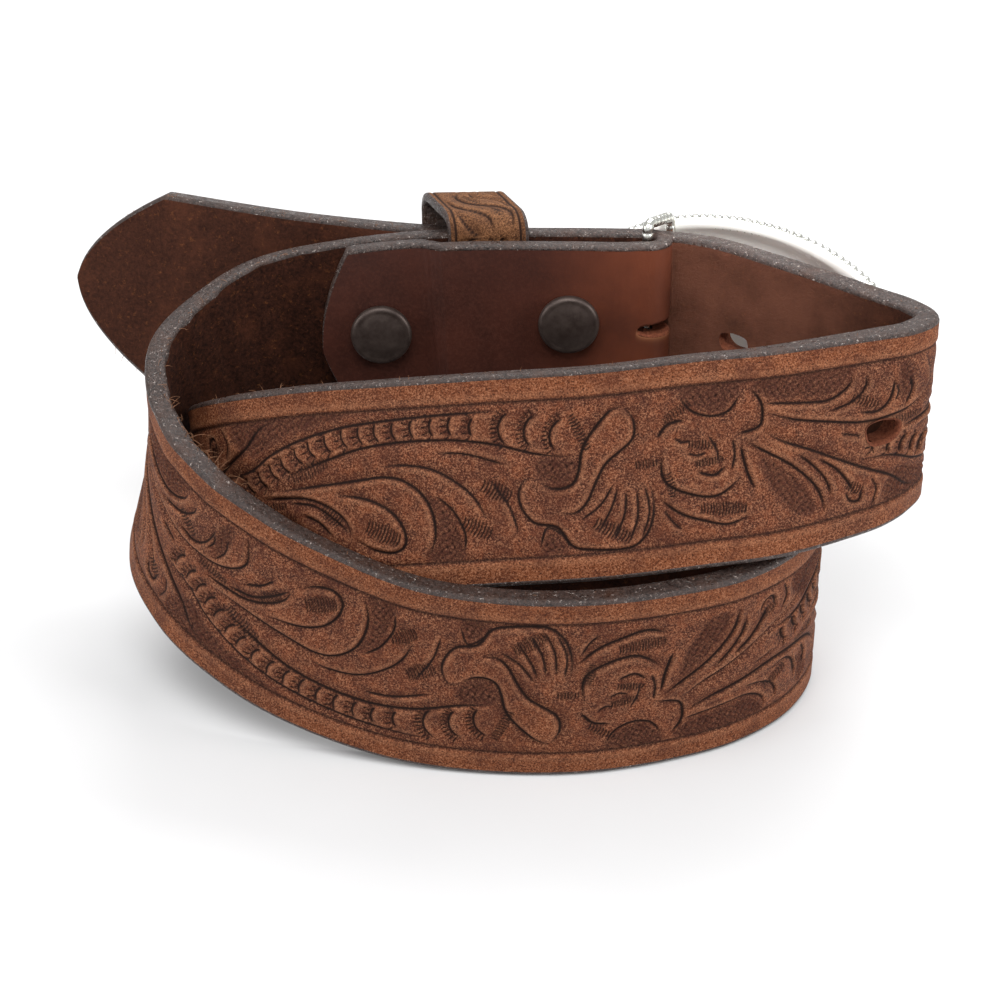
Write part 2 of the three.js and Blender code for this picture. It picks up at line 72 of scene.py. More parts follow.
# Stations of the coil: across and deep as shares of its size, foot in strap widths, lean in degrees,
# and the layer, 1 where the free end lies outside the turn below it.
ROUTE = [
    (0.35, 0.916, 1.005, 6, 0), (0.154, 0.918, 1.005, 7, 0), (-0.128, 0.912, 1.0, 8, 0),
    (-0.36, 0.9, 0.955, 9, 0), (-0.55, 0.88, 0.885, 5, 0), (-0.675, 0.81, 0.81, -2, 0),
    (-0.775, 0.714, 0.72, -8, 0), (-0.815, 0.586, 0.6, -12, 0), (-0.798, 0.464, 0.49, -10, 0),
    (-0.72, 0.343, 0.365, -8, 0), (-0.583, 0.236, 0.225, -8, 0), (-0.423, 0.157, 0.11, -8, 0),
    (-0.218, 0.086, 0.02, -5, 0), (0, 0.045, 0, -3, 0), (0.205, 0.045, 0, -2, 0),
    (0.397, 0.093, 0, -1, 0), (0.551, 0.164, 0, 0, 0), (0.68, 0.293, 0, 0, 0),
    (0.737, 0.457, 0, 0, 0), (0.68, 0.62, 0, 0, 0), (0.487, 0.7, 0, 0, 0),
    (0.192, 0.715, 0, 0, 0), (-0.154, 0.72, 0, 0, 0), (-0.43, 0.73, 0.01, 0, 0),
    (-0.6, 0.7, 0.07, 0, 0), (-0.695, 0.61, 0.21, -6, 0), (-0.692, 0.51, 0.4, -13, 0),
    (-0.59, 0.4, 0.6, -18, 0), (-0.436, 0.325, 0.74, -20, 0), (-0.218, 0.255, 0.86, -20, 0),
    (0, 0.226, 0.93, -20.5, 0), (0.224, 0.225, 0.965, -20.5, 0), (0.449, 0.25, 1, -20.5, 0),
    (0.603, 0.282, 1, -18, 0), (0.769, 0.345, 1, -12, 0), (0.859, 0.388, 1, -8, 0),
    (0.923, 0.433, 1, -3, 0), (0.968, 0.5, 1, 0, 0), (0.938, 0.557, 1, 0, 0),
    (0.853, 0.623, 1, 1, 0), (0.641, 0.726, 0.995, 4, 1), (0.474, 0.855, 0.965, 7, 1),
    (0.282, 0.925, 0.925, 8, 1), (0.051, 0.938, 0.91, 9, 1), (-0.192, 0.942, 0.93, 11, 1),
    (-0.5, 0.965, 0.975, 14, 1), (-0.82, 1.055, 1.0, 16, 1), (-1.05, 1.13, 1.015, 17, 1),
]


def unit(vectors):
    return vectors / np.linalg.norm(vectors, axis=-1, keepdims=True)


def run_along(path):
    """How far along a path each of its points lies."""
    return np.concatenate([[0], np.cumsum(np.linalg.norm(np.diff(path, axis=0), axis=1))])


def smoothstep(x, start, end):
    t = np.clip((x - start) / (end - start), 0, 1)
    return t * t * (3 - 2 * t)


def route_points():
    """The stations' middles in millimetres, with their lean in degrees."""
    rows = np.array(ROUTE, float)
    pitch = (BUCKLE_END_THICKNESS + STRAP_THICKNESS) / 2 + LAYER_GAP
    lean = np.radians(np.abs(rows[:, 3]))
    rise = STRAP_WIDTH / 2 * np.cos(lean) + STRAP_THICKNESS / 2 * np.sin(lean)
    x = rows[:, 0] * COIL_HALF_LENGTH
    y = rows[:, 1] * COIL_DEPTH + rows[:, 4] * pitch - COIL_CENTRE_DEPTH
    z = rows[:, 2] * (STRAP_WIDTH + LAYER_GAP) + rise
    return np.column_stack([x, y, z, rows[:, 3]])


def smooth_walk(rows, steps=12):
    """A smooth curve through rows, with more steps between them."""
    gaps = np.sqrt(np.linalg.norm(np.diff(rows[:, :3], axis=0), axis=1))
    slopes = np.diff(rows, axis=0) / gaps[:, None]
    tangents = np.empty_like(rows)
    tangents[0] = slopes[0]
    tangents[-1] = slopes[-1]
    before, after = gaps[:-1, None], gaps[1:, None]
    tangents[1:-1] = (slopes[:-1] * after + slopes[1:] * before) / (before + after)
    walk = []
    for i, gap in enumerate(gaps):
        for step in range(steps):
            t = step / steps
            walk.append(
                (1 + 2 * t) * (1 - t) ** 2 * rows[i]
                + t * (1 - t) ** 2 * gap * tangents[i]
                + t * t * (3 - 2 * t) * rows[i + 1]
                + t * t * (t - 1) * gap * tangents[i + 1]
            )
    walk.append(rows[-1])
    return np.array(walk)


def coil_frames():
    """The strap's middle line round the coil, with its directions and the distance run."""
    walk = smooth_walk(route_points())
    place = walk[:, :3]
    along = np.empty_like(place)
    along[1:-1] = place[2:] - place[:-2]
    along[0] = place[1] - place[0]
    along[-1] = place[-1] - place[-2]
    along = unit(along)
    upright = np.array([0, 0, 1.0]) - along * along[:, 2:3]
    upright = unit(upright)
    lean = np.radians(walk[:, 3:4])
    across = upright * np.cos(lean) + np.cross(along, upright) * np.sin(lean)
    grain = np.cross(along, across)
    return place + MODEL_SHIFT, along, across, grain, run_along(place)


# How far the flap lies off the strap: from the fold, over the keeper, to the flap's end.
FLAP_OFFSETS = ((0, 6.28), (6.28, 6.92), (36.8, 6.92), (41.3, 4.4), (218, 4.4))


def flap_offset(distance):
    offset = np.full_like(distance, FLAP_OFFSETS[0][1])
    for (start, low), (end, high) in zip(FLAP_OFFSETS[:-1], FLAP_OFFSETS[1:]):
        share = smoothstep(distance, start, end)
        offset = np.where(distance >= start, low + (high - low) * share, offset)
    return offset


def strap_frames():
    """The whole strap from the flap's end round the fold to the tip, measured from the coil's start."""
    place, along, across, grain, distance = coil_frames()
    in_flap = distance < FLAP_LENGTH
    flap_place = (place - grain * flap_offset(distance)[:, None])[in_flap][::-1]
    centre = place[0] - grain[0] * FOLD_RADIUS
    turns = math.pi * (1 - np.arange(1, FOLD_STEPS) / FOLD_STEPS)
    fold_grain = np.cos(turns)[:, None] * grain[0] - np.sin(turns)[:, None] * along[0]
    fold_along = np.cos(turns)[:, None] * along[0] + np.sin(turns)[:, None] * grain[0]
    fold_across = np.repeat(across[:1], len(turns), axis=0)
    places = np.vstack([flap_place, centre + fold_grain * FOLD_RADIUS, place])
    alongs = np.vstack([-along[in_flap][::-1], fold_along, along])
    acrosses = np.vstack([across[in_flap][::-1], fold_across, across])
    grains = np.vstack([-grain[in_flap][::-1], fold_grain, grain])
    distances = run_along(places)
    first_of_coil = len(flap_place) + len(turns)
    flap_root = distances[len(flap_place) - 1] - distances[first_of_coil]
    return places, alongs, acrosses, grains, distances - distances[first_of_coil], centre, flap_root


PLACE, ALONG, ACROSS, GRAIN, STATION, WIRE_CENTRE, FLAP_ROOT = strap_frames()
FIRST, LAST = STATION[0], STATION[-1]


def frame_at(u):
    """Place, along, across and grain directions at stations u."""
    u = np.asarray(u, float)
    after = np.clip(np.searchsorted(STATION, u), 1, len(STATION) - 1)
    before = after - 1
    gap = STATION[after] - STATION[before]
    t = ((u - STATION[before]) / gap)[..., None]
    reach = gap[..., None]
    place = (
        (1 + 2 * t) * (1 - t) ** 2 * PLACE[before]
        + t * (1 - t) ** 2 * reach * ALONG[before]
        + t * t * (3 - 2 * t) * PLACE[after]
        + t * t * (t - 1) * reach * ALONG[after]
    )
    across = unit(ACROSS[before] * (1 - t) + ACROSS[after] * t)
    grain = unit(GRAIN[before] * (1 - t) + GRAIN[after] * t)
    along = unit(ALONG[before] * (1 - t) + ALONG[after] * t)
    return place, along, across, grain


def one_frame(u):
    return [value[0] for value in frame_at(np.array([u]))]


def half_thickness(u):
    full = smoothstep(u, FLAP_LENGTH, FLAP_LENGTH + SKIVE_LENGTH)
    return (BUCKLE_END_THICKNESS + (STRAP_THICKNESS - BUCKLE_END_THICKNESS) * full) / 2


def half_width(u):
    shares = []
    for from_end, (length, fullness) in ((u - FIRST, FLAP_END), (LAST - u, NOSE_END)):
        share = np.clip(from_end / length, 0, 1) ** fullness
        shares.append(np.maximum(share, BLUNT_SHARE))
    return STRAP_WIDTH / 2 * np.minimum(*shares)


def edge_round(u):
    return np.minimum(EDGE_ROUND, 0.45 * half_width(u))


def on_strap(u, v, w):
    """Points at u along, v across and w outward of the leather's middle."""
    place, _, across, grain = frame_at(u)
    return place + across * v[..., None] + grain * w[..., None]


# The tooling is read flat: s along from a flower's middle, v across, both in millimetres.
REPEAT = 117
FLOWER_AT = 82
PANEL_EDGE = 14
STEM_OUTER = [(-79, 3.9), (-71.1, 4.9), (-66.1, 7.4), (-61.1, 9.2), (-55.4, 10.6), (-48.3, 11.7),
              (-36, 12.4), (-22.7, 12.6)]
STEM_INNER = [(-63.6, 3.3), (-55.4, 5.6), (-48.3, 7.4), (-41, 8.1), (-32.6, 7.9), (-25.4, 6.7),
              (-18.3, 4.6), (-11.3, 3.6)]
TULIP_RIGHT = [(-2.4, 11.9), (-0.9, 9.7), (-0.7, 7.2), (-1.6, 5.4), (-4.1, 3.6), (-6.3, 1.9),
               (-8.1, -1), (-9.9, -4.6), (-12, -6.4), (-14.5, -6.4)]
TULIP_LEFT = [(-2.4, 11.9), (-4.9, 11.1), (-8.4, 7.6), (-10.2, 4.7), (-10.9, 1.5), (-12, -1),
              (-14.1, -1.9), (-16.3, -1.6), (-17.9, -0.3)]
TULIP_LOBE = [(-17.9, -0.3), (-20.2, 0.1), (-21.6, -2.4), (-21.1, -5.3), (-19.1, -7.8),
              (-15.9, -8.5), (-14.5, -9.6), (-12.7, -12.4), (-9.1, -13.3), (-3.4, -13.5),
              (-0.6, -11.7), (0.9, -8.9), (1.4, -5.3), (0.9, -1.7)]

# Each cut: its points, then how wide and deep it is, then the side that is pressed down and how far.
CUTS = [
    (STEM_OUTER, 0.5, 0.55, 1, 1.6),
    (STEM_INNER, 0.5, 0.6, -1, 1.6),
    (TULIP_RIGHT, 0.5, 0.65, 1, 1.8),
    (TULIP_LEFT, 0.55, 0.7, -1, 1.8),
    (TULIP_LOBE, 0.5, 0.6, -1, 1.8),
    ([(-5.2, -1.7), (-7.7, -5.3), (-11.3, -7.8)], 0.4, 0.45, 1, 1.2),
    ([(-4.5, -2.4), (-5.9, -6), (-8.4, -10.3)], 0.4, 0.5, 1, 1.2),
    ([(-3.1, -3.1), (-3.8, -7.4), (-5.9, -11.7)], 0.4, 0.5, 1, 1.2),
    ([(-1.3, -3.1), (-1.6, -8.1), (-3.4, -12.4)], 0.4, 0.5, 1, 1.2),
    ([(0.1, -2.4), (0.5, -7.4), (-1.3, -12.1)], 0.4, 0.45, 1, 1.0),
    ([(3, 5.4), (5.1, 7.6), (8, 8.1)], 0.55, 0.6, 1, 1.4),
    ([(3.4, 2.6), (3.7, -2.4), (8, -5.3), (13, -6), (17.3, -3.1)], 0.5, 0.65, -1, 1.6),
    ([(5.9, 5.1), (7.3, 4.2), (8.7, 4.4)], 0.4, 0.4, 1, 0.8),
    ([(8, 2.2), (9.8, 1.5), (11.2, 2)], 0.4, 0.4, 1, 0.8),
    ([(9.4, -1.4), (12.3, -2.3), (14.4, -1)], 0.5, 0.5, 1, 1.0),
    ([(11.6, 5.1), (13, 2.6), (13.4, -0.3)], 0.4, 0.4, 1, 1.0),
    ([(2.3, -5.3), (5.9, -8.5), (10.1, -10.3), (14.4, -11.4), (18.4, -10.3)], 0.5, 0.6, -1, 1.4),
    ([(3, -7.4), (4.4, -9.9), (5.9, -11.4)], 0.4, 0.5, 1, 1.0),
    ([(15.9, 4), (16.2, 1.1), (15.5, -1.7)], 0.4, 0.4, -1, 1.0),
    ([(17.3, 2.6), (18.1, -1.7), (19.4, -5.6)], 0.55, 0.55, -1, 1.2),
    ([(7.3, 12.6), (9.1, 9.7), (12.3, 8.3), (15.5, 9), (17.6, 11.9)], 0.45, 0.5, 0, 0),
    ([(19.4, 12.6), (20.9, 10.8), (21.6, 9), (21.2, 6.1), (19.4, 5.1), (16.6, 4.7)], 0.5, 0.6, -1, 1.2),
    ([(21.6, 9.7), (25.3, 9.2), (29.8, 8.6), (33.5, 8.3), (36.2, 9.2), (38, 10.8), (38.2, 12.6)],
     0.45, 0.55, 1, 1.2),
    ([(33.7, 6.2), (37.5, 7), (39.8, 8.3), (41, 10.1), (41, 11.7)], 0.4, 0.5, 1, 1.2),
    ([(21.9, 8.1), (27.1, 6), (33, 4.5), (39.4, 3.1), (43.9, 3), (48.9, 3.6), (52.6, 5.4),
      (54.4, 8.3), (52.6, 13.5)], 0.5, 0.6, -1, 1.5),
    ([(39.4, 5), (43, 4.5), (45.3, 6), (46.2, 8.5), (46.4, 10.4)], 0.45, 0.5, 1, 1.2),
    ([(46.6, 9), (47.1, 7.6), (46.4, 5.8)], 0.4, 0.4, 1, 0.8),
    ([(49.4, 9.9), (49.8, 7.2), (48.5, 4.5)], 0.4, 0.45, -1, 1.0),
    ([(35.7, 1.7), (39.8, 0.5)], 0.35, 0.4, 1, 0.8),
    ([(48, 0.3), (53, 0.6), (57, 1.1), (61, 2.9), (63.7, 5.4), (64.6, 8.3)], 0.45, 0.55, 1, 1.4),
    ([(21.4, 4.7), (24.8, 2.4), (29.4, 0.1), (33, -1.9), (37.5, -4.4), (42.1, -6.9), (46.2, -9.2),
      (49.8, -12.4), (53.5, -13.8)], 0.5, 0.6, 1, 1.4),
    ([(18, 3.3), (21.6, 1), (25.7, -1.9), (28.9, -5.1), (31, -8.3), (31.9, -12.4)], 0.5, 0.6, -1, 1.2),
    ([(27.5, -0.5), (30.3, -3.3), (32.5, -6.5), (33.3, -9.6)], 0.45, 0.55, -1, 1.2),
    ([(31.2, -2.1), (34.4, -4.6), (36.6, -7.4), (38, -10.1)], 0.5, 0.6, -1, 1.2),
    ([(36.2, -9.6), (37.1, -11.5), (38.9, -11.9), (39.6, -10.1)], 0.5, 0.5, 1, 0.8),
    ([(41.6, -13.5), (42.5, -10.5), (41.5, -8)], 0.35, 0.35, 1, 0.8),
    ([(-65.6, 0.8), (-57.7, 1.1), (-50.6, 1.6), (-44.9, 2), (-41.3, 1), (-38.4, -1.7), (-37, -5.3),
      (-37.1, -9.6), (-39.1, -13.5)], 0.5, 0.65, 1, 1.6),
    ([(-54.9, -0.6), (-49.1, -1.7), (-44.9, -3.9), (-42.7, -7.1), (-42.6, -10.3), (-44.9, -11.7),
      (-48.4, -11), (-51.3, -9.2)], 0.5, 0.6, 1, 1.4),
    ([(-64.1, -1.4), (-59.1, -2.4), (-55.6, -4.9), (-52.7, -7.8)], 0.5, 0.55, -1, 1.4),
    ([(-61.3, -3.9), (-58.4, -5.6), (-56.3, -8.1)], 0.45, 0.5, -1, 1.2),
    ([(-45.2, 3.9), (-41.3, 4), (-36.3, 2.9), (-32, 0.1), (-29.1, -3.1), (-27.4, -7.1)],
     0.45, 0.5, 1, 1.4),
    ([(-34.9, 5.8), (-29.9, 5.2), (-23.4, 2.9)], 0.4, 0.45, -1, 1.2),
    ([(-26.3, 0.4), (-23.4, -4.6), (-22, -9.6)], 0.4, 0.4, 1, 1.2),
    ([(-36.3, -1.7), (-33.4, -4.6), (-31.6, -8.9), (-32, -12.4)], 0.45, 0.5, 0, 0),
    ([(-18.4, -12.4), (-17.4, -9.2), (-16.3, -8.9), (-14.1, -10.6), (-13.1, -13.1)], 0.4, 0.4, 0, 0),
]

# Grounds pressed down and matted between the scrolls.
GROUNDS = [
    [(-72, 14), (-70, 7.5), (-64.5, 9.6), (-58.5, 11.4), (-52, 12.6), (-49, 14)],
    [(-38, -2.2), (-36.4, -5.3), (-36.4, -9.6), (-38.3, -13.8), (-32.4, -13.8), (-32.2, -9.5),
     (-33.8, -5), (-36.4, -2.2)],
    [(-18.2, -13.6), (-17, -9.6), (-16.2, -9.4), (-14.4, -11), (-13.4, -13.6)],
    [(7.3, 14), (9.3, 10.3), (12.3, 8.9), (15.3, 9.6), (17.4, 14)],
    [(20.6, 14), (22.2, 10.7), (29.8, 9.4), (33.5, 9.1), (35.8, 10), (37.4, 11.6), (37.4, 14)],
    [(20.4, 0.4), (22.4, -0.6), (25.1, -2.7), (27.9, -5.7), (29.6, -9), (30.2, -11.8), (26.4, -11.8),
     (23.4, -8), (21.4, -4)],
    [(-18, 3.8), (-11.6, 3.2), (-11.8, 0.5), (-13.8, -1.2), (-16.5, -0.9), (-18.4, 0.8)],
    [(47.4, 12.6), (47.6, 6), (49.2, 6.4), (50.2, 9), (49.6, 12.8)],
]

# Rows of short shading strokes: middle, length of the row, length of a stroke, turn in degrees, count.
COMBS = [
    ((-6, -10), 6.5, 3.0, 60, 15), ((13.5, -8.4), 8, 2.6, 85, 20), ((-46.5, -8), 6, 3.6, 62, 13),
    ((-25.5, -1.5), 5, 3.4, 62, 11), ((10.5, 3.4), 4.5, 1.8, 80, 11), ((11.5, 0.3), 4.5, 1.6, 95, 11),
    ((-10.6, 8.2), 6.5, 2, 24, 12), ((6.6, 9.6), 5, 1.8, 120, 9), ((4.5, -3), 4, 1.8, 10, 9),
    ((0.6, 1.2), 3.5, 1.8, 90, 10),
    ((-29.5, -8), 5, 3.2, 62, 10), ((-56, -4.2), 4, 3, 40, 8), ((40.5, 7), 5, 2.2, 62, 9),
    ((49, 1.9), 6, 1.7, 88, 12), ((38, -9.2), 3, 2.4, 60, 7), ((58, -4), 7, 3, 70, 12),
]

# Shells pressed across the stem, from its root to the flower: place, and turn in degrees.
SCALLOPS = [
    (-75, 1.4, 20), (-71.8, 2.3, 22), (-69, 3.1, 24), (-66.4, 4.1, 26), (-63.9, 5.1, 28),
    (-61, 6.6, 24), (-58.3, 7.6, 20), (-55.1, 8.4, 16), (-51.9, 9.2, 12), (-48.8, 9.6, 8),
    (-45.8, 9.9, 6), (-42.6, 10.1, 3), (-39.4, 10.3, 0), (-36, 10.4, -2), (-32.8, 10.4, -4),
    (-29.2, 10, -6),
]
BIG_SCALLOPS = [(-24.3, 9.4, -6), (-20, 8.9, -10), (-15.6, 8.2, -16)]

RASTER = 0.12
RASTER_FROM = -82
RASTER_TO = 68
GROUND_DEPTH = 0.42
GROUND_BLUR = 5
PEBBLE_WAVES = 2.5
PEBBLE_HEIGHT = 0.3
PEBBLE_SHADE = 0.55
BEVEL_GAIN = 1.3
BEVEL_SHARE = 0.92
BEVEL_CURVE = 1.35
LIP_AT = 0.75
LIP_WIDTH = 0.6
END_FADE = 0.16
THIN_END = 0.25
CUT_SHADE_DEPTH = 0.38
COMB_GAP = 0.56
COMB_DEPTH = 0.34
COMB_WIDTH = 0.3
SHELL_RADIUS = 2.5
BIG_SHELL_RADIUS = 3.5
SHELL_REACH = 44
BIG_SHELL_REACH = 58
SHELL_RAYS = 5
BIG_SHELL_RAYS = 11
RAY_GAP = 0.3
RAY_LENGTH = 1.2


class Relief:
    """A flat sheet of the tooling: how deep the face is pressed, how dark the painted shade in its cuts and
    pebbled pits is, and where its pebbled grounds and raised lips lie."""

    def __init__(self, s_from, s_to, v_edge):
        self.s = np.arange(s_from, s_to + RASTER, RASTER)
        self.v = np.arange(-v_edge, v_edge + RASTER, RASTER)
        shape = (len(self.s), len(self.v))
        self.depth = np.zeros(shape)
        self.cut = np.zeros(shape)
        self.ground = np.zeros(shape)
        self.lip = np.zeros(shape)

    def window(self, points, pad):
        """The part of the sheet that holds some points, with a margin."""
        low = points.min(axis=0) - pad
        high = points.max(axis=0) + pad
        i = slice(*np.searchsorted(self.s, (low[0], high[0])))
        j = slice(*np.searchsorted(self.v, (low[1], high[1])))
        return i, j

    def stroke(self, points, width, depth, side=0, bevel=0.0):
        """One knife cut that runs out at its ends, bevelled down on one side, with a lip on the other."""
        path = curve_through(points)
        bevel = bevel * BEVEL_GAIN
        i, j = self.window(path, max(width, bevel) + RASTER)
        s, v = np.meshgrid(self.s[i], self.v[j], indexing="ij")
        if s.size == 0:
            return
        starts, spans = path[:-1], np.diff(path, axis=0)
        lengths = np.linalg.norm(spans, axis=1)
        from_s = s[..., None] - starts[:, 0]
        from_v = v[..., None] - starts[:, 1]
        t = np.clip((from_s * spans[:, 0] + from_v * spans[:, 1]) / lengths ** 2, 0, 1)
        off_s = from_s - t * spans[:, 0]
        off_v = from_v - t * spans[:, 1]
        gap = np.hypot(off_s, off_v)
        near = gap.argmin(axis=-1)[..., None]
        turn = spans[:, 0] * from_v - spans[:, 1] * from_s
        gap, turn, t = (np.take_along_axis(field, near, axis=-1)[..., 0] for field in (gap, turn, t))
        run = run_along(path)
        share = (run[near[..., 0]] + t * lengths[near[..., 0]]) / run[-1]
        fade = np.clip(np.minimum(share, 1 - share) / END_FADE, 0, 1)
        strength = THIN_END + (1 - THIN_END) * np.sqrt(fade)
        groove = np.clip(1 - gap / (width * (0.5 + 0.5 * strength)), 0, 1) * strength
        pressed = depth * groove
        if side:
            inside = np.clip(1 - gap / bevel, 0, 1) ** BEVEL_CURVE * (turn * side > 0)
            pressed = np.maximum(pressed, depth * BEVEL_SHARE * inside * strength)
            raised = np.clip(1 - np.abs(gap - LIP_AT) / LIP_WIDTH, 0, 1) * (turn * side <= 0) * strength
            self.lip[i, j] = np.maximum(self.lip[i, j], raised)
        self.depth[i, j] = np.maximum(self.depth[i, j], pressed)
        # Painted shade in the groove: the cut line is darkened, more for deeper cuts.
        line = np.clip(1.4 * groove - 0.4, 0, 1)
        self.cut[i, j] = np.maximum(self.cut[i, j], line * min(1, depth / CUT_SHADE_DEPTH))

    def press(self, outline, depth):
        """One ground: everything inside an outline, pressed down and pebbled."""
        corners = curve_through(outline + outline[:1])
        i, j = self.window(corners, 0.6)
        s, v = np.meshgrid(self.s[i], self.v[j], indexing="ij")
        inside = np.zeros(s.shape, bool)
        for (s0, v0), (s1, v1) in zip(corners[:-1], corners[1:]):
            crosses = (v0 > v) != (v1 > v)
            rise = v1 - v0 if v1 != v0 else RASTER * RASTER
            inside ^= crosses & (s < (s1 - s0) * (v - v0) / rise + s0)
        soft = blurred(inside.astype(float), GROUND_BLUR)
        rising = np.sin(PEBBLE_WAVES * (s + v) + 1.1 * np.sin(1.9 * v))
        falling = np.sin(PEBBLE_WAVES * (s - v) + 1.1 * np.sin(1.7 * s))
        pebble = 1 - 2 * np.sqrt(np.abs(rising * falling))
        pressed = soft * (depth + PEBBLE_HEIGHT * pebble)
        self.depth[i, j] = np.maximum(self.depth[i, j], pressed)
        self.ground[i, j] = np.maximum(self.ground[i, j], soft)
        # Painted shade in the pebbles' pits.
        dark = PEBBLE_SHADE * soft * np.clip(2 * pebble - 0.3, 0, 1)
        self.cut[i, j] = np.maximum(self.cut[i, j], dark)

    def comb(self, middle, row, stroke, turn, count):
        """A row of short, slightly bowed shading strokes, longest in the middle."""
        across = np.radians(turn)
        step = np.array([math.cos(across - math.pi / 2), math.sin(across - math.pi / 2)])
        down = np.array([math.cos(across), math.sin(across)])
        count = min(count, int(row / COMB_GAP) + 1)
        for k in range(count):
            share = k / (count - 1) - 0.5
            place = np.array(middle) + step * row * share
            reach = down * stroke * (0.58 - 0.35 * abs(share))
            bow = step * 0.25
            self.stroke([place - reach, place + bow, place + reach], COMB_WIDTH, COMB_DEPTH)

    def scallop(self, s, v, turn, radius=SHELL_RADIUS, reach=SHELL_REACH, rays=SHELL_RAYS):
        """One pressed shell: a deep crescent, the bevel outside it, and short rays on the bevel."""
        toward = np.radians(turn)
        centre = np.array([s + radius * math.cos(toward), v + radius * math.sin(toward)])
        angles = np.radians(180 + turn + np.linspace(-reach, reach, 7))
        arc = [centre + radius * np.array([math.cos(a), math.sin(a)]) for a in angles]
        self.stroke(arc, 0.45, 0.7, -1, 1.5)
        start = radius + RAY_GAP
        for a in np.radians(180 + turn + np.linspace(-0.85 * reach, 0.85 * reach, rays)):
            ray = np.array([math.cos(a), math.sin(a)])
            self.stroke([centre + ray * start, centre + ray * (start + RAY_LENGTH)], 0.26, 0.5)


def curve_through(points, spacing=0.55):
    """A smooth curve through points, closed if its ends meet."""
    points = np.array(points, float)
    if len(points) == 2:
        points = np.array([points[0], points.mean(axis=0), points[1]])
    closed = np.allclose(points[0], points[-1])
    before = points[-2] if closed else 2 * points[0] - points[1]
    after = points[1] if closed else 2 * points[-1] - points[-2]
    padded = np.vstack([before, points, after])
    path = []
    for k in range(1, len(padded) - 2):
        a, b, c, d = padded[k - 1:k + 3]
        count = max(2, int(np.linalg.norm(c - b) / spacing))
        for t in np.arange(count) / count:
            path.append(0.5 * (
                2 * b + (c - a) * t + (2 * a - 5 * b + 4 * c - d) * t ** 2
                + (3 * b - a - 3 * c + d) * t ** 3
            ))
    path.append(points[-1])
    return np.array(path)


def blurred(field, cells):
    window = np.ones(2 * cells + 1) / (2 * cells + 1)
    for axis in (0, 1):
        if field.shape[axis] > len(window):
            field = np.apply_along_axis(np.convolve, axis, field, window, mode="same")
    return field


def half_repeat():
    """One flower with its stem and leaves."""
    sheet = Relief(RASTER_FROM, RASTER_TO, PANEL_EDGE + 0.4)
    for outline in GROUNDS:
        sheet.press(outline, GROUND_DEPTH)
    for points, width, depth, side, bevel in CUTS:
        sheet.stroke(points, width, depth, side, bevel)
    for middle, row, stroke, turn, count in COMBS:
        sheet.comb(middle, row, stroke, turn, count)
    for s, v, turn in SCALLOPS:
        sheet.scallop(s, v, turn)
    for s, v, turn in BIG_SCALLOPS:
        sheet.scallop(s, v, turn, BIG_SHELL_RADIUS, BIG_SHELL_REACH, BIG_SHELL_RAYS)
    return sheet


FLOWERS = half_repeat()


def read_sheet(sheet, s, v):
    """The sheet's depth, cut, ground and lip at any points, smoothly between its cells."""
    fs = np.clip((s - sheet.s[0]) / RASTER, 0, len(sheet.s) - 1.001)
    fv = np.clip((v - sheet.v[0]) / RASTER, 0, len(sheet.v) - 1.001)
    i, j = fs.astype(int), fv.astype(int)
    a, b = fs - i, fv - j
    outside = (s < sheet.s[0]) | (s > sheet.s[-1])
    found = []
    for field in (sheet.depth, sheet.cut, sheet.ground, sheet.lip):
        value = (
            field[i, j] * (1 - a) * (1 - b) + field[i + 1, j] * a * (1 - b)
            + field[i, j + 1] * (1 - a) * b + field[i + 1, j + 1] * a * b
        )
        found.append(np.where(outside, 0, value))
    return found


HIDDEN_FROM = 255
HIDDEN_TO = 405
HIDDEN_PATTERN = 218


def pattern_phase(u):
    """Where a station falls in the pattern, which is drawn together on the hidden turn."""
    share = np.clip((u - HIDDEN_FROM) / (HIDDEN_TO - HIDDEN_FROM), 0, 1)
    return np.minimum(u, HIDDEN_FROM) + share * HIDDEN_PATTERN + np.maximum(u - HIDDEN_TO, 0)


TOOLING_FROM = 5
TOOLING_TO_END = 33
LINE_WIDTH = 0.5
LINE_DEPTH = 0.42
LINE_SLOPE = 2.0
LINE_SLOPE_DEPTH = 0.3
LINE_LIP_AT = 1.1
LINE_LIP_WIDTH = 0.8
LIP_HEIGHT = 0.1
FAR = 99


def tooling(u, v):
    """Depth, cut, ground and raised lips of the strap's tooled face."""
    phase = pattern_phase(u) - FLOWER_AT
    nearest = np.round(phase / REPEAT)
    fields = [np.zeros_like(u)] * 4
    for neighbour in (-1, 0, 1):
        turn = np.where((nearest + neighbour) % 2 == 0, 1.0, -1.0)
        s = phase - (nearest + neighbour) * REPEAT
        fields = [np.maximum(*pair) for pair in zip(fields, read_sheet(FLOWERS, s, v * turn))]
    depth, cut, ground, lip = fields
    end = LAST - TOOLING_TO_END
    inside = (np.abs(v) < PANEL_EDGE) & (u > TOOLING_FROM) & (u < end)
    lip = lip * inside * np.clip(1 - 2.5 * depth, 0, 1) * (1 - ground)
    depth, cut, ground = depth * inside, cut * inside, ground * inside
    to_line = np.abs(np.abs(v) - PANEL_EDGE)
    to_end = np.minimum(np.abs(u - TOOLING_FROM), np.abs(u - end))
    to_end = np.where(np.abs(v) < PANEL_EDGE, to_end, FAR)
    long_line = np.where((u > TOOLING_FROM) & (u < end), to_line, FAR)
    line = np.clip(1 - np.minimum(long_line, to_end) / LINE_WIDTH, 0, 1)
    pressed_in = np.clip(1 - to_line / LINE_SLOPE, 0, 1) ** 1.5 * inside
    depth = np.maximum(depth, LINE_DEPTH * line)
    depth = np.maximum(depth, LINE_SLOPE_DEPTH * pressed_in)
    beside = np.clip(1 - np.abs(to_line - LINE_LIP_AT) / LINE_LIP_WIDTH, 0, 1) * (np.abs(v) > PANEL_EDGE)
    lip = np.maximum(lip, 0.7 * beside)
    # The border line's groove is darkened too: painted shade.
    return depth - LIP_HEIGHT * lip, np.maximum(cut, 0.5 * line), ground, lip


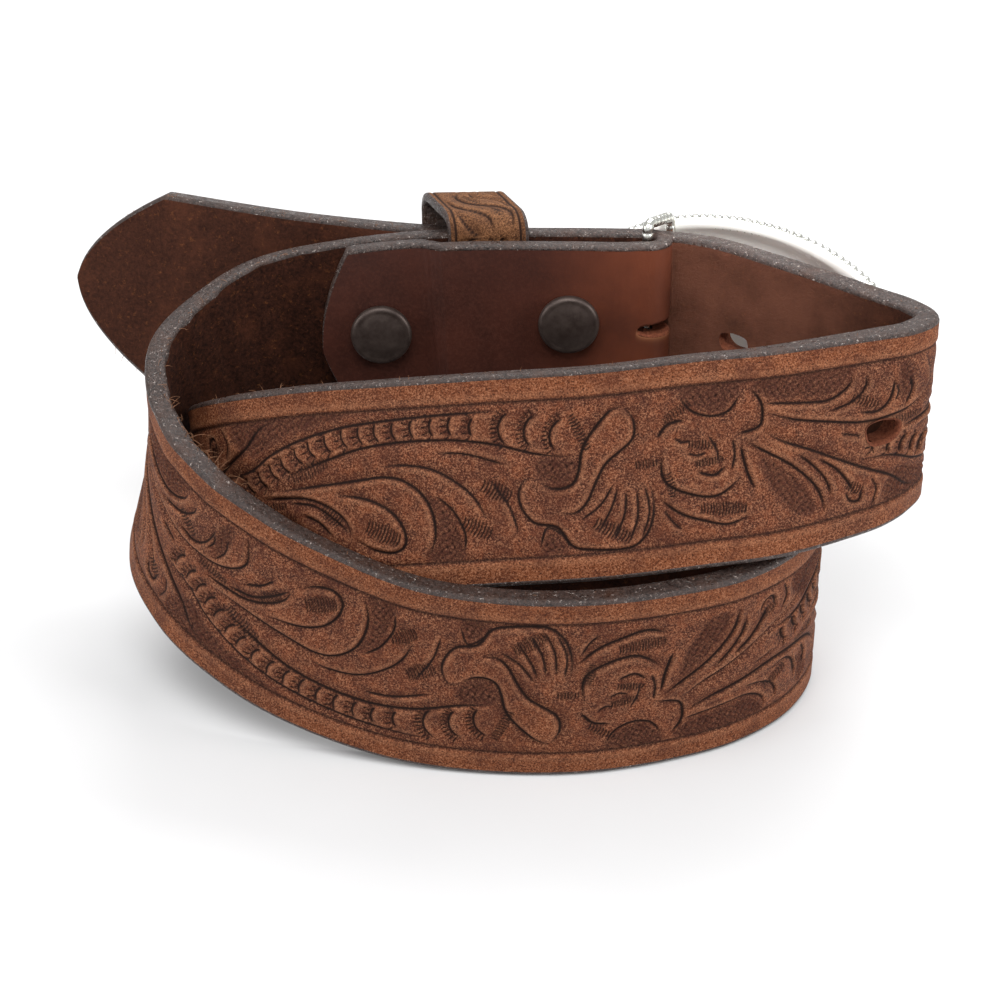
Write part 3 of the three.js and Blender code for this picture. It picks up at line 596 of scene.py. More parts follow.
def hole_reach(angle, hole):
    """How far a size hole's worn, slightly squared outline lies from its middle."""
    _, _, length, height = hole
    wide = np.abs(np.cos(angle) / (length / 2)) ** HOLE_SQUARENESS
    high = np.abs(np.sin(angle) / (height / 2)) ** HOLE_SQUARENESS
    worn = 1 + 0.035 * np.sin(3 * angle + 1.1) + 0.03 * np.sin(5 * angle + 0.4)
    return worn * (wide + high) ** (-1 / HOLE_SQUARENESS)


def outline_gap(u, v, hole):
    """Distance outside a size hole, less than nothing inside it; and the way out of it."""
    du, dv = u - hole[0], v - hole[1]
    span = np.maximum(np.hypot(du, dv), 1e-6)
    return span - hole_reach(np.arctan2(dv, du), hole), du / span, dv / span


def slit_gap(u, v, hole):
    """The same for the fold's slit, which is left across its length."""
    centre_u, centre_v, length, height = hole
    share = np.clip(1 - (2 * (u - centre_u) / length) ** 2, 0, 1)
    gap = np.abs(v - centre_v) - height / 2 * np.sqrt(share)
    return np.where(share > 0, gap, 9), np.zeros_like(u), np.sign(v - centre_v)


def hole_outline(hole, grow, points):
    angles = 2 * math.pi * np.arange(points) / points
    if hole is FOLD_SLIT:
        u = hole[0] + (hole[2] / 2 + grow) * np.cos(angles)
        return u, hole[1] + (hole[3] / 2 + grow) * np.sin(angles)
    reach = hole_reach(angles, hole) + grow
    return hole[0] + reach * np.cos(angles), hole[1] + reach * np.sin(angles)


SIZE_HOLES = [(at, HOLE_RISE, HOLE_LENGTH, HOLE_HEIGHT) for at in HOLES_AT]
FOLD_LENGTH = math.pi * FOLD_RADIUS
FOLD_SLIT = (-FOLD_LENGTH / 2, SLOT_RISE, 2 * SLOT_REACH + FOLD_LENGTH, SLOT_HEIGHT)
ALL_HOLES = [(hole, outline_gap) for hole in SIZE_HOLES] + [(FOLD_SLIT, slit_gap)]


def cut_holes(u, v, faces, grow):
    """Opens the holes in a flat net: points inside move to the outline, faces inside go."""
    keep = np.ones(len(faces), bool)
    for hole, gap_from in ALL_HOLES:
        gap, out_u, out_v = gap_from(u, v, hole)
        inside = gap < grow
        keep &= ~inside[faces].all(axis=1)
        u = np.where(inside, u + out_u * (grow - gap), u)
        v = np.where(inside, v + out_v * (grow - gap), v)
    return u, v, keep


def net_faces(rows, columns, closed_rows=False, closed_columns=False):
    i = np.arange(rows if closed_rows else rows - 1)[:, None]
    j = np.arange(columns if closed_columns else columns - 1)[None, :]
    i_next, j_next = (i + 1) % rows, (j + 1) % columns
    corners = [i * columns + j, i_next * columns + j, i_next * columns + j_next, i * columns + j_next]
    return np.stack([np.broadcast_to(c, (i.size, j.size)).ravel() for c in corners], axis=1)


def piece(name, points, faces, materials, attributes=None, slots=None):
    """A smooth mesh from points in millimetres that rides on the one body; unused points are dropped."""
    used = np.zeros(len(points), bool)
    used[faces.ravel()] = True
    number = np.cumsum(used) - 1
    faces = number[faces]
    mesh = bpy.data.meshes.new(name)
    mesh.vertices.add(int(used.sum()))
    mesh.vertices.foreach_set("co", (points[used] * MM).astype(np.float32).ravel())
    mesh.loops.add(faces.size)
    mesh.loops.foreach_set("vertex_index", faces.astype(np.int32).ravel())
    mesh.polygons.add(len(faces))
    mesh.polygons.foreach_set("loop_start", np.arange(0, faces.size, faces.shape[1], dtype=np.int32))
    if slots is not None:
        mesh.polygons.foreach_set("material_index", slots.astype(np.int32))
    mesh.update(calc_edges=True)
    mesh.validate()
    mesh.shade_smooth()
    for key, values in (attributes or {}).items():
        layer = mesh.attributes.new(key, "FLOAT", "POINT")
        layer.data.foreach_set("value", values[used].astype(np.float32))
    for material in materials:
        mesh.materials.append(MATERIALS[material])
    made = bpy.data.objects.new(name, mesh)
    bpy.context.scene.collection.objects.link(made)
    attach(made, "root")
    return made


BORDER_COLUMNS = 9
HOLE_WEAR = 0.7
HOLE_DISH = 0.12
SLIT_WEAR = 0.4
FOLD_LIGHTENING = (-34, -11)


def grain_piece(name, start, end, step, tooled=True):
    """A stretch of the strap's grain face."""
    rows = max(int(round((end - start) / step)), 2)
    u_line = np.linspace(start, end, rows + 1)
    full = STRAP_WIDTH / 2 - EDGE_ROUND
    fine_edge = PANEL_EDGE + 0.8
    inner = np.linspace(-fine_edge, fine_edge, int(2 * fine_edge / step))
    outer = np.linspace(fine_edge, full, BORDER_COLUMNS)[1:]
    v_line = np.concatenate([-outer[::-1], inner, outer])
    u, v = np.meshgrid(u_line, v_line, indexing="ij")
    v = v * ((half_width(u) - edge_round(u)) / full)
    shape = u.shape
    faces = net_faces(*shape)
    u, v = u.ravel(), v.ravel()
    u, v, keep = cut_holes(u, v, faces, HOLE_LIP)
    faces = faces[keep]
    depth, cut, ground, lip = tooling(u, v) if tooled else (np.zeros_like(u),) * 4
    scuff = np.zeros_like(u)
    for hole in SIZE_HOLES:
        gap, _, _ = outline_gap(u, v, hole)
        near = np.exp(-np.maximum(gap - HOLE_LIP, 0) / HOLE_WEAR)
        depth = depth * (1 - 0.8 * near) + HOLE_DISH * near
        scuff = np.maximum(scuff, near)
    slit, _, _ = slit_gap(u, v, FOLD_SLIT)
    scuff = np.maximum(scuff, np.exp(-np.maximum(slit - HOLE_LIP, 0) / SLIT_WEAR) * (v < SLOT_RISE))
    to_edge = half_width(u) - edge_round(u) - np.abs(v)
    points = on_strap(u, v, half_thickness(u) - depth * smoothstep(to_edge, 0, 0.6))
    border = smoothstep(np.abs(v), PANEL_EDGE, PANEL_EDGE + 1)
    fields = {
        "cut": cut, "ground": ground, "border": border, "scuff": scuff, "pressed": depth, "lip": lip,
        "fold": smoothstep(u, *FOLD_LIGHTENING),
    }
    return piece(name, points, faces, ["tooled" if tooled else "flap"], fields)


BODY_STEP = 0.9
FLESH_COLUMNS = 34
CORE_DEPTH = 1.35
EDGE, FLESH, WALL = 0, 1, 2


def body_section(u):
    """The strap's section without its grain face: rounded edges, the flesh side, and a core just below
    the grain."""
    wide, thick = half_width(u), half_thickness(u)
    turn = np.radians(np.linspace(0, 90, 5))
    columns = []
    kinds = []
    bend = edge_round(u)
    for side in (1, -1):
        corner = [(wide - bend + bend * math.sin(a), thick - bend + bend * math.cos(a)) for a in turn]
        lower = [(wide - bend + bend * math.cos(a), -thick + bend - bend * math.sin(a)) for a in turn]
        middle = [(wide, thick * share) for share in (0.35, 0, -0.35)]
        edge = corner + middle + lower
        if side < 0:
            edge = edge[::-1]
        columns += [(side * v, w) for v, w in edge]
        kinds += [EDGE] * len(edge)
        inner = np.linspace(-1, 1, FLESH_COLUMNS)[1:-1]
        if side > 0:
            columns += [(-share * (wide - bend), -thick) for share in inner]
            kinds[-1] = FLESH
        else:
            columns += [(share * (wide - bend), thick - CORE_DEPTH) for share in inner]
        kinds += [FLESH] * len(inner)
    v = np.stack([np.broadcast_to(c[0], u.shape) for c in columns], axis=1)
    w = np.stack([np.broadcast_to(c[1], u.shape) for c in columns], axis=1)
    return v, w, np.array(kinds)


# Where the flesh side is squeezed: middle along the strap, spread, strength.
SQUEEZED = ((92, 34, 1), (372, 26, 0.5))
CREASE_HEIGHT = 0.22


def creases(u, v):
    """Upright wrinkles of the flesh side where the leather is squeezed at the bends."""
    squeeze = sum(strength * np.exp(-((u - middle) / spread) ** 2) for middle, spread, strength in SQUEEZED)
    wave = np.sin(u * 0.95 + 0.9 * np.sin(v * 0.21)) + 0.6 * np.sin(u * 1.73 + 0.12 * v)
    return CREASE_HEIGHT * squeeze * wave


# Where the flesh side is coloured lighter: it starts and ends softly between these stations.
LIGHTENED_FLESH_START = (535, 565)
LIGHTENED_FLESH_END = (640, 660)


def strap_body():
    """The strap's edges, flesh side and hole walls in one mesh, open at its two narrow ends."""
    stations = np.concatenate([
        [FIRST], np.linspace(FIRST + 0.05, FIRST + 2, 8)[:-1],
        np.arange(FIRST + 2, -FOLD_LENGTH - 1, BODY_STEP),
        np.linspace(-FOLD_LENGTH - 1, 1, 40)[:-1],
        np.arange(1, LAST - 4, BODY_STEP),
        np.linspace(LAST - 4, LAST - 0.05, 16), [LAST],
    ])
    v, w, kinds = body_section(stations)
    count = v.shape[1]
    u = np.repeat(stations[:, None], count, axis=1)
    w = w + np.where(kinds == FLESH, creases(u, v), 0) * (w < 0)
    faces = net_faces(len(stations), count, closed_columns=True)
    slots = np.tile(kinds, len(stations) - 1)
    flat_u, flat_v, flat_w = u.ravel(), v.ravel(), w.ravel()
    flat_u, flat_v, keep = cut_holes(flat_u, flat_v, faces, 0)
    points = on_strap(flat_u, flat_v, flat_w)
    faces, slots = faces[keep], slots[keep]
    walls, wall_faces = hole_walls(len(points))
    points = np.vstack([points, walls])
    lightened_flesh = np.zeros(len(points))
    lightened_flesh[:len(flat_u)] = smoothstep(flat_u, *LIGHTENED_FLESH_START) * (1 - smoothstep(flat_u, *LIGHTENED_FLESH_END))
    lightened_flesh[:len(flat_u)] += 0.2 * smoothstep(flat_u, LAST - 70, LAST - 10)
    slots = np.concatenate([slots, np.full(len(wall_faces), WALL)])
    faces = np.vstack([faces, wall_faces])
    return piece("strap_body", points, faces, ["edge", "flesh", "wall"], {"lightened_flesh": lightened_flesh}, slots)


def hole_walls(start):
    """Rings through each hole: how far out, at what share of the half thickness, and how much deeper."""
    points, faces = [], []
    for hole, _ in ALL_HOLES:
        count = 96 if hole is FOLD_SLIT else 48
        rings = ((HOLE_LIP, 1, 0), (HOLE_LIP * 0.45, 1, -0.1), (0.02, 1, -0.35), (0, 0.2, 0), (0, -1, 0))
        for grow, share, drop in rings:
            u, v = hole_outline(hole, grow, count)
            points.append(on_strap(u, v, half_thickness(u) * share + drop))
        faces.append(net_faces(len(rings), count, closed_columns=True)[:, ::-1] + start)
        start += len(rings) * count
    return np.vstack(points), np.vstack(faces)


def local_basis(place, along, across, grain):
    """Local x against the strap's run, y outward of its grain, z across it."""
    return place, np.stack([-along, grain, across])


def seat(u, rise=0.0):
    place, along, across, grain = one_frame(u)
    return local_basis(place + across * rise, along, across, grain)


def placed(points, basis):
    place, axes = basis
    return place + np.asarray(points) @ axes


def turned(profile, steps=64):
    """Points turned about local y, from (radius, height) pairs."""
    angles = 2 * math.pi * np.arange(steps) / steps
    profile = np.array(profile)
    radius, height = profile[:, :1], profile[:, 1:]
    x = radius * np.cos(angles)
    z = radius * np.sin(angles)
    y = np.broadcast_to(height, x.shape)
    points = np.stack([x, y, z], axis=-1).reshape(-1, 3)
    return points, net_faces(len(profile), steps, closed_columns=True)


def swept(path, radii, side, closed=False, sides=14):
    """A round bar along a path; side is any direction square to it."""
    before = np.roll(path, 1, axis=0)
    after = np.roll(path, -1, axis=0)
    if not closed:
        before[0], after[-1] = path[0], path[-1]
    along = unit(after - before)
    side = np.asarray(side, float)
    first = unit(side - along * (along @ side)[:, None])
    second = np.cross(along, first)
    angles = 2 * math.pi * np.arange(sides) / sides
    ring = first[:, None] * np.cos(angles)[None, :, None] + second[:, None] * np.sin(angles)[None, :, None]
    points = path[:, None] + ring * radii[:, None, None]
    return points.reshape(-1, 3), net_faces(len(path), sides, closed_rows=closed, closed_columns=True)


def bent(start, corner, end, shares):
    """Points of a bend from start to end, drawn towards a corner."""
    return [(1 - t) ** 2 * start + 2 * t * (1 - t) * corner + t * t * end for t in shares]


def rounded_corner(before, corner, after, reach, steps):
    start = corner + reach * unit(before - corner)
    end = corner + reach * unit(after - corner)
    return bent(start, corner, end, np.linspace(0, 1, steps))


def joined(parts):
    points, faces, start = [], [], 0
    for part_points, part_faces in parts:
        points.append(part_points)
        faces.append(part_faces + start)
        start += len(part_points)
    return np.vstack(points), np.vstack(faces)


SNAP_RADIUS = 5.7
SNAP_SEAT = BUCKLE_END_THICKNESS / 2 + 1
SNAP_RISE = 1.9


def snap_cap(name, from_fold, rise):
    """A pressed stud cap: crowned top, rolled rim, and a skirt down to the leather."""
    top = SNAP_SEAT + SNAP_RISE
    profile = [
        (0.02, top), (1.2, top - 0.02), (2.3, top - 0.09), (3.2, top - 0.2), (3.9, top - 0.34),
        (4.3, top - 0.44), (4.6, top - 0.48), (4.9, top - 0.46), (5.2, top - 0.52), (5.45, top - 0.74),
        (5.58, top - 0.9), (5.65, top - 1.1), (SNAP_RADIUS, top - 1.5), (5.62, top - 1.9),
        (5.3, SNAP_SEAT - 0.25), (4.8, SNAP_SEAT - 0.6), (4.1, SNAP_SEAT - 0.85), (2, SNAP_SEAT - 0.9),
        (2, -BUCKLE_END_THICKNESS / 2), (0.02, -BUCKLE_END_THICKNESS / 2),
    ]
    points, faces = turned(profile)
    return piece(name, placed(points, seat(FLAP_ROOT - from_fold, rise)), faces[:, ::-1], ["snap"])


KEEPER_WIDTH = 15
KEEPER_THICKNESS = 1.9
KEEPER_INNER, KEEPER_OUTER = -3.425, 11.35
KEEPER_LOW, KEEPER_HIGH = -23.45, 22.35
KEEPER_CORNER = 3.4
KEEPER_SKEW = 5
KEEPER_STEP = 0.3
KEEPER_EDGE_ROUND = 0.6
KEEPER_RIM_LINE = 1.5
KEEPER_RIM_WIDTH = 0.35

# The keeper's own tooling: S-shaped petals, each point along the loop and across it.
KEEPER_CUTS = [
    ([(-6.2, 4.6), (-3.2, 5), (-0.6, 3.4), (0.2, 0.6), (1.6, -1.8), (4.4, -2.6), (6.8, -1.4)],
     0.5, 0.5, -1, 1.5),
    ([(-6.4, 1.2), (-4.2, 0.4), (-2.8, -1.8), (-1, -4.2), (2, -5.2)], 0.5, 0.5, -1, 1.5),
    ([(-1.2, 5.4), (1.6, 4.8), (3.2, 2.8), (4, 0.6), (6.4, 0.4)], 0.5, 0.5, 1, 1.5),
    ([(-7.4, -1.6), (-6, -3.6), (-3.6, -5.2)], 0.45, 0.45, 1, 1.2),
    ([(4.6, 5.2), (6.6, 4), (7.6, 2.4)], 0.45, 0.45, 1, 1.2),
]
KEEPER_REPEAT = 15


def keeper_sheet():
    sheet = Relief(-9, 9, KEEPER_WIDTH / 2)
    for points, width, depth, side, bevel in KEEPER_CUTS:
        sheet.stroke(points, width, depth, side, bevel)
    sheet.comb((-2.4, 2.4), 3.2, 1.6, 70, 7)
    sheet.comb((2.6, -0.4), 3.2, 1.6, 60, 7)
    return sheet


def keeper():
    """The tooled loop round the free end."""
    corners = np.array([
        (KEEPER_INNER, KEEPER_HIGH), (KEEPER_OUTER, KEEPER_HIGH),
        (KEEPER_OUTER, KEEPER_LOW), (KEEPER_INNER, KEEPER_LOW),
    ])
    path = []
    for k, corner in enumerate(corners):
        after = corners[(k + 1) % len(corners)]
        path += rounded_corner(corners[k - 1], corner, after, KEEPER_CORNER, 14)
        end = path[-1]
        following = after + KEEPER_CORNER * unit(corner - after)
        count = int(np.linalg.norm(following - end) / KEEPER_STEP)
        path += [end + (following - end) * share for share in np.arange(1, count) / count]
    path = np.array(path)
    after, before = np.roll(path, -1, axis=0), np.roll(path, 1, axis=0)
    along = unit(after - before)
    out = np.stack([-along[:, 1], along[:, 0]], axis=1)
    middle = np.array([(KEEPER_INNER + KEEPER_OUTER) / 2, (KEEPER_LOW + KEEPER_HIGH) / 2])
    out *= np.sign(((path - middle) * out).sum(axis=1))[:, None]
    run = run_along(path)
    half = KEEPER_WIDTH / 2
    bend = KEEPER_EDGE_ROUND
    thick = KEEPER_THICKNESS / 2
    turn = np.radians(np.linspace(0, 90, 4))
    face = np.linspace(-half + bend, half - bend, 46)
    right = [(half - bend + bend * math.sin(a), thick - bend + bend * math.cos(a)) for a in turn[1:]]
    lower = [(half - bend + bend * math.cos(a), -thick + bend - bend * math.sin(a)) for a in turn]
    section = [(x, thick) for x in face] + right + lower
    section += [(x, -thick) for x in np.linspace(half - bend, -half + bend, 12)[1:-1]]
    section += [(-x, y) for x, y in reversed(right + lower)]
    section = np.array(section)
    kinds = np.full(len(section), EDGE)
    kinds[:len(face) - 1] = FLESH
    x = np.broadcast_to(section[:, 0], (len(path), len(section)))
    y = np.broadcast_to(section[:, 1], x.shape).copy()
    phase = (run[:, None] % KEEPER_REPEAT) - KEEPER_REPEAT / 2
    flip = np.where((run[:, None] // KEEPER_REPEAT) % 2 == 0, 1.0, -1.0)
    depth, cut, _, lip = read_sheet(keeper_sheet(), np.broadcast_to(phase, x.shape), x * flip)
    face_side = (section[:, 1] > thick - 0.01)
    rim = np.clip(1 - np.abs(np.abs(x) - half + KEEPER_RIM_LINE) / KEEPER_RIM_WIDTH, 0, 1)
    # The rim line's groove is darkened: painted shade.
    cut = np.maximum(cut, rim) * face_side
    y -= np.maximum(depth, 0.25 * rim) * face_side
    share = (path[:, 0] - KEEPER_INNER) / (KEEPER_OUTER - KEEPER_INNER)
    local = np.stack([
        x - KEEPER_SKEW * share[:, None],
        path[:, None, 0] + out[:, None, 0] * y,
        path[:, None, 1] + out[:, None, 1] * y,
    ], axis=-1).reshape(-1, 3)
    faces = net_faces(len(path), len(section), closed_rows=True, closed_columns=True)
    slots = np.tile(kinds, len(path))
    zero = np.zeros(cut.size)
    fields = {
        "cut": cut.ravel(), "ground": zero, "border": zero, "scuff": zero,
        "pressed": depth.ravel(), "lip": lip.ravel(),
    }
    points = placed(local, seat(KEEPER_FROM_FOLD))
    return piece("keeper_loop", points, faces, ["edge", "keeper"], fields, slots)


PLATE_LENGTH = 70
PLATE_HEIGHT = 44
PLATE_SHEET = 1.6
PLATE_DOME = 5
PLATE_STAND_OFF = 3.6
PLATE_BEND_RADIUS = 210
RIM_RADIUS = 1.5
BEADS = 116
FRONT, BACK, RIM = 0, 1, 2
HOOK_RADIUS = 1.25
HOOK_SHARE = 0.42
HOOK_BEND = 1.2
HOOK_TIP = 2.2
CLEARANCE = 0.35
BAIL_RADIUS = 1.05
BAIL_TUBE_WALL = 0.8
BAIL_TUBE_LENGTH = 20
BAIL_OVERHANG = 1.45
BAIL_CORNER = 1.6
BAIL_BEAD = 1.7
BAIL_STEP = 0.22
SADDLE_ROWS = 10
SADDLE_SIDES = 64
SADDLE_POWER = 0.35


def buckle_basis():
    reach = 2 * PLATE_LENGTH * HOOK_SHARE
    place, _, across, _ = frame_at(np.array([HOOK_HOLE_AT, HOOK_HOLE_AT + reach]))
    along = unit(place[1] - place[0])
    up = across.sum(axis=0)
    up = unit(up - along * (up @ along))
    return local_basis(place.mean(axis=0), along, up, np.cross(along, up))


BUCKLE = buckle_basis()


def into_buckle(points):
    place, axes = BUCKLE
    return (np.asarray(points) - place) @ axes.T


def strap_bulge():
    """How far the strap bulges towards the plate between the hook and the fold."""
    near = STATION > HOOK_HOLE_AT - HOLE_LENGTH
    near &= STATION < HOOK_HOLE_AT + 2 * PLATE_LENGTH * HOOK_SHARE + HOLE_LENGTH
    faces = [
        PLACE[near] + ACROSS[near] * side * STRAP_WIDTH / 2 + GRAIN[near] * STRAP_THICKNESS / 2
        for side in (-1, 1)
    ]
    return into_buckle(np.vstack(faces))[:, 1].max()


STRAP_BULGE = strap_bulge()
PLATE_BACK = STRAP_BULGE + PLATE_STAND_OFF
FLAT_EDGE = PLATE_LENGTH / 2 - 2 * RIM_RADIUS
TUBE_BORE = BAIL_RADIUS + 1.8 * CLEARANCE
TUBE_HEIGHT = STRAP_BULGE + CLEARANCE + TUBE_BORE + BAIL_TUBE_WALL


def dome_at(from_middle):
    return PLATE_DOME * (1 - np.minimum(from_middle / FLAT_EDGE, 1) ** 4)


def plate():
    """Domed sheet with a row of beads round it, a stepped inner line, and its fixings on the back."""
    ratio = PLATE_HEIGHT / PLATE_LENGTH
    radius = PLATE_LENGTH / 2
    line_at = FLAT_EDGE - 3.2
    r = np.linspace(0.05, FLAT_EDGE, 112)
    groove = 0.45 * np.exp(-((r - line_at) / 0.5) ** 2)
    front, front_faces = turned(np.column_stack([r, dome_at(r) + PLATE_SHEET - groove]), 420)
    engraved, _, _, _ = read_sheet(FLOWERS, front[:, 0] * 0.95 - 4, front[:, 2] * ratio * 0.8)
    from_middle = np.hypot(front[:, 0], front[:, 2])
    front[:, 1] -= 0.6 * engraved * (1 - smoothstep(from_middle, line_at - 4, line_at - 2.5))
    back_r = r[::-4]
    back = np.column_stack([back_r, dome_at(back_r)])
    rim = [(FLAT_EDGE, PLATE_SHEET), (radius - RIM_RADIUS, PLATE_SHEET + 0.1), (radius - 0.9, PLATE_SHEET),
           (radius - 0.5, 0.9), (radius - 0.5, 0.35), (radius - 0.8, 0.05), (radius - RIM_RADIUS, 0)]
    shell, shell_faces = turned(np.vstack([rim, back]), 160)
    front[:, 2] *= ratio
    shell[:, 2] *= ratio
    parts = [(front, front_faces[:, ::-1]), (shell, shell_faces[:, ::-1])]
    turns = 2 * math.pi * np.arange(BEADS * 8) / (BEADS * 8)
    bead_path = np.column_stack([
        (radius - RIM_RADIUS) * np.cos(turns),
        np.full(len(turns), PLATE_SHEET),
        (radius * ratio - RIM_RADIUS) * np.sin(turns),
    ])
    lengths = np.linalg.norm(np.roll(bead_path, -1, axis=0) - bead_path, axis=1)
    run = np.concatenate([[0], np.cumsum(lengths)[:-1]]) / lengths.sum() * BEADS
    swell = np.sqrt(np.clip(1 - (2 * (run % 1) - 1) ** 2, 0, 1))
    beads = RIM_RADIUS * (0.55 + 0.45 * swell)
    parts.append(swept(bead_path, beads, (0, 1, 0), closed=True, sides=12))
    for part in parts:
        part[0][:, 1] += PLATE_BACK - part[0][:, 0] ** 2 / (2 * PLATE_BEND_RADIUS)
    wire = into_buckle(WIRE_CENTRE)
    parts += [bail_tube(wire[0]), saddle(wire[0]), hook()]
    points, faces = joined(parts)
    # BACK is a white non-metal finish: painted reflection of the polished back.
    metals = (FRONT, BACK, RIM, BACK, BACK, RIM)
    slots = np.concatenate([np.full(len(part[1]), metal) for part, metal in zip(parts, metals)])
    return piece("plate", placed(points, BUCKLE), faces, ["front", "back", "rim"], slots=slots)


def bail_tube(x):
    """The short tube on the plate's back that the wire loop turns in."""
    half = BAIL_TUBE_LENGTH / 2
    bore = TUBE_BORE
    wall = bore + BAIL_TUBE_WALL
    profile = [(bore, -half), (bore, half), (bore + 0.2, half + 0.02), (wall - 0.2, half),
               (wall, half - 0.2), (wall, -half + 0.2), (wall - 0.2, -half), (bore + 0.2, -half),
               (bore, -half)]
    points, faces = turned(profile, 40)
    points = points[:, [0, 2, 1]] + np.array([x, TUBE_HEIGHT, 0])
    return points, faces


def saddle(x):
    """The solder that holds the tube to the plate, wider at both ends than between."""
    top = PLATE_BACK + dome_at(abs(x)) + PLATE_SHEET / 2
    angles = 2 * math.pi * np.arange(SADDLE_SIDES) / SADDLE_SIDES
    round_x = np.sign(np.cos(angles)) * np.abs(np.cos(angles)) ** SADDLE_POWER
    round_z = np.sign(np.sin(angles)) * np.abs(np.sin(angles)) ** SADDLE_POWER
    rows = []
    for share in np.linspace(0, 1, SADDLE_ROWS):
        flare = 1 + 0.35 * (2 * share - 1) ** 2
        height = TUBE_HEIGHT + (top - TUBE_HEIGHT) * share
        half_x = TUBE_BORE * flare
        half_z = BAIL_TUBE_LENGTH / 2 * 0.94 * (1 + 0.04 * (2 * share - 1) ** 2)
        rows.append(np.column_stack([x + half_x * round_x, np.full(SADDLE_SIDES, height), half_z * round_z]))
    return np.vstack(rows), net_faces(SADDLE_ROWS, SADDLE_SIDES, closed_columns=True)


def hook():
    """The fixed hook, from the plate's back down through its size hole."""
    place, along, _, grain = one_frame(HOOK_HOLE_AT)
    from_middle = abs(into_buckle(place)[0])
    root_height = PLATE_BACK + dome_at(from_middle) + PLATE_SHEET / 2
    depth = STRAP_THICKNESS / 2 + HOOK_TIP
    root = place + grain * root_height
    neck = place - grain * (depth - HOOK_BEND)
    end = place - grain * depth - along * HOOK_BEND
    stem = [root + (neck - root) * share for share in np.linspace(0, 0.92, 12)]
    knee = stem[-1]
    bend = bent(knee, neck, end, np.linspace(0.1, 1, 8))
    tip = [end + (end - bend[-2]) * 0.4]
    path = into_buckle(np.array(stem + bend + tip))
    radii = np.full(len(path), HOOK_RADIUS)
    radii[0:3] = HOOK_RADIUS * np.array([1.7, 1.35, 1.1])
    radii[-3:] = HOOK_RADIUS * np.array([1, 0.85, 0.1])
    return swept(path, radii, (0, 0, 1))


def bail():
    """The wire loop through the fold and the plate's tube."""
    _, _, across, _ = one_frame(0.0)
    side_way = into_buckle(BUCKLE[0] + across)
    inner = into_buckle(WIRE_CENTRE)
    reach = STRAP_WIDTH / 2 + BAIL_OVERHANG + BAIL_RADIUS
    shoulder = STRAP_BULGE + CLEARANCE + BAIL_RADIUS
    sides = []
    for side in (1, -1):
        sides.append([
            inner + side_way * side * reach,
            np.array([inner[0], shoulder, side * reach]),
            np.array([inner[0], shoulder, side * (BAIL_TUBE_LENGTH / 2 + 4 * BAIL_RADIUS)]),
            np.array([inner[0], TUBE_HEIGHT, side * (BAIL_TUBE_LENGTH / 2 + BAIL_RADIUS)]),
        ])
    corners = sides[0] + sides[1][::-1]
    path = []
    for k, corner in enumerate(corners):
        path += rounded_corner(corners[k - 1], corner, corners[(k + 1) % len(corners)], BAIL_CORNER, 9)
    path = np.array(path + path[:1])
    run = run_along(path)
    even = np.linspace(0, run[-1], int(run[-1] / BAIL_STEP))[:-1]
    path = np.column_stack([np.interp(even, run, path[:, axis]) for axis in range(3)])
    beads = round(run[-1] / BAIL_BEAD)
    swell = np.sqrt(np.clip(1 - (2 * (even / run[-1] * beads % 1) - 1) ** 2, 0, 1))
    points, faces = swept(path, BAIL_RADIUS * (0.72 + 0.28 * swell), (1, 0, 0), closed=True)
    return piece("bail", placed(points, BUCKLE), faces, ["rim"])


# Where leather fibres stand loose: from and to along the strap, side of it, depth, count, length.
FIBRE_ROWS = [
    (92, 122, 1, -0.6, 34, 2.6), (110, 128, 1, -0.9, 16, 3.6), (60, 92, 1, -0.7, 26, 1.5),
    (396, 420, 1, -0.5, 12, 1.6), (420, 545, 1, 0.1, 40, 1.0), (130, 250, 1, 0.0, 26, 0.9),
    (640, 700, 1, -0.6, 26, 1.2), (640, 700, -1, -0.6, 16, 1.4), (262, 392, 1, -0.5, 20, 1.0),
]
FIBRE_RADIUS = 0.055
FIBRE_SEED = 7


def loose_fibres():
    """Short curled hairs of leather along the strap's edges."""
    chance = np.random.default_rng(FIBRE_SEED)
    parts = []
    for start, end, side, depth, count, length in FIBRE_ROWS:
        for _ in range(count):
            u = chance.uniform(start, end)
            place, along, across, grain = one_frame(u)
            foot_v = side * (float(half_width(np.array(u))) - chance.uniform(0.05, 0.5))
            foot_w = float(half_thickness(np.array(u))) * (depth + chance.uniform(-0.35, 0.25))
            foot = place + across * foot_v + grain * foot_w
            reach = length * chance.uniform(0.4, 1.15)
            way = across * side * chance.uniform(0.3, 1) + along * chance.uniform(-0.9, 0.9)
            way = unit(way - grain * chance.uniform(-0.1, 0.7))
            curl = unit(np.cross(way, chance.normal(size=3)))
            t = np.linspace(0, 1, 7)[:, None]
            drop = np.array([0, 0, 0.25 * reach])
            path = foot + way * reach * t + curl * reach * 0.45 * t ** 2 - drop * t ** 3
            path[:, 2] = np.maximum(path[:, 2], FIBRE_RADIUS)
            parts.append(swept(path, FIBRE_RADIUS * (1 - 0.7 * t[:, 0]), (0.31, 0.52, 0.8), sides=5))
    points, faces = joined(parts)
    return piece("loose_fibres", points, faces, ["fibre"])


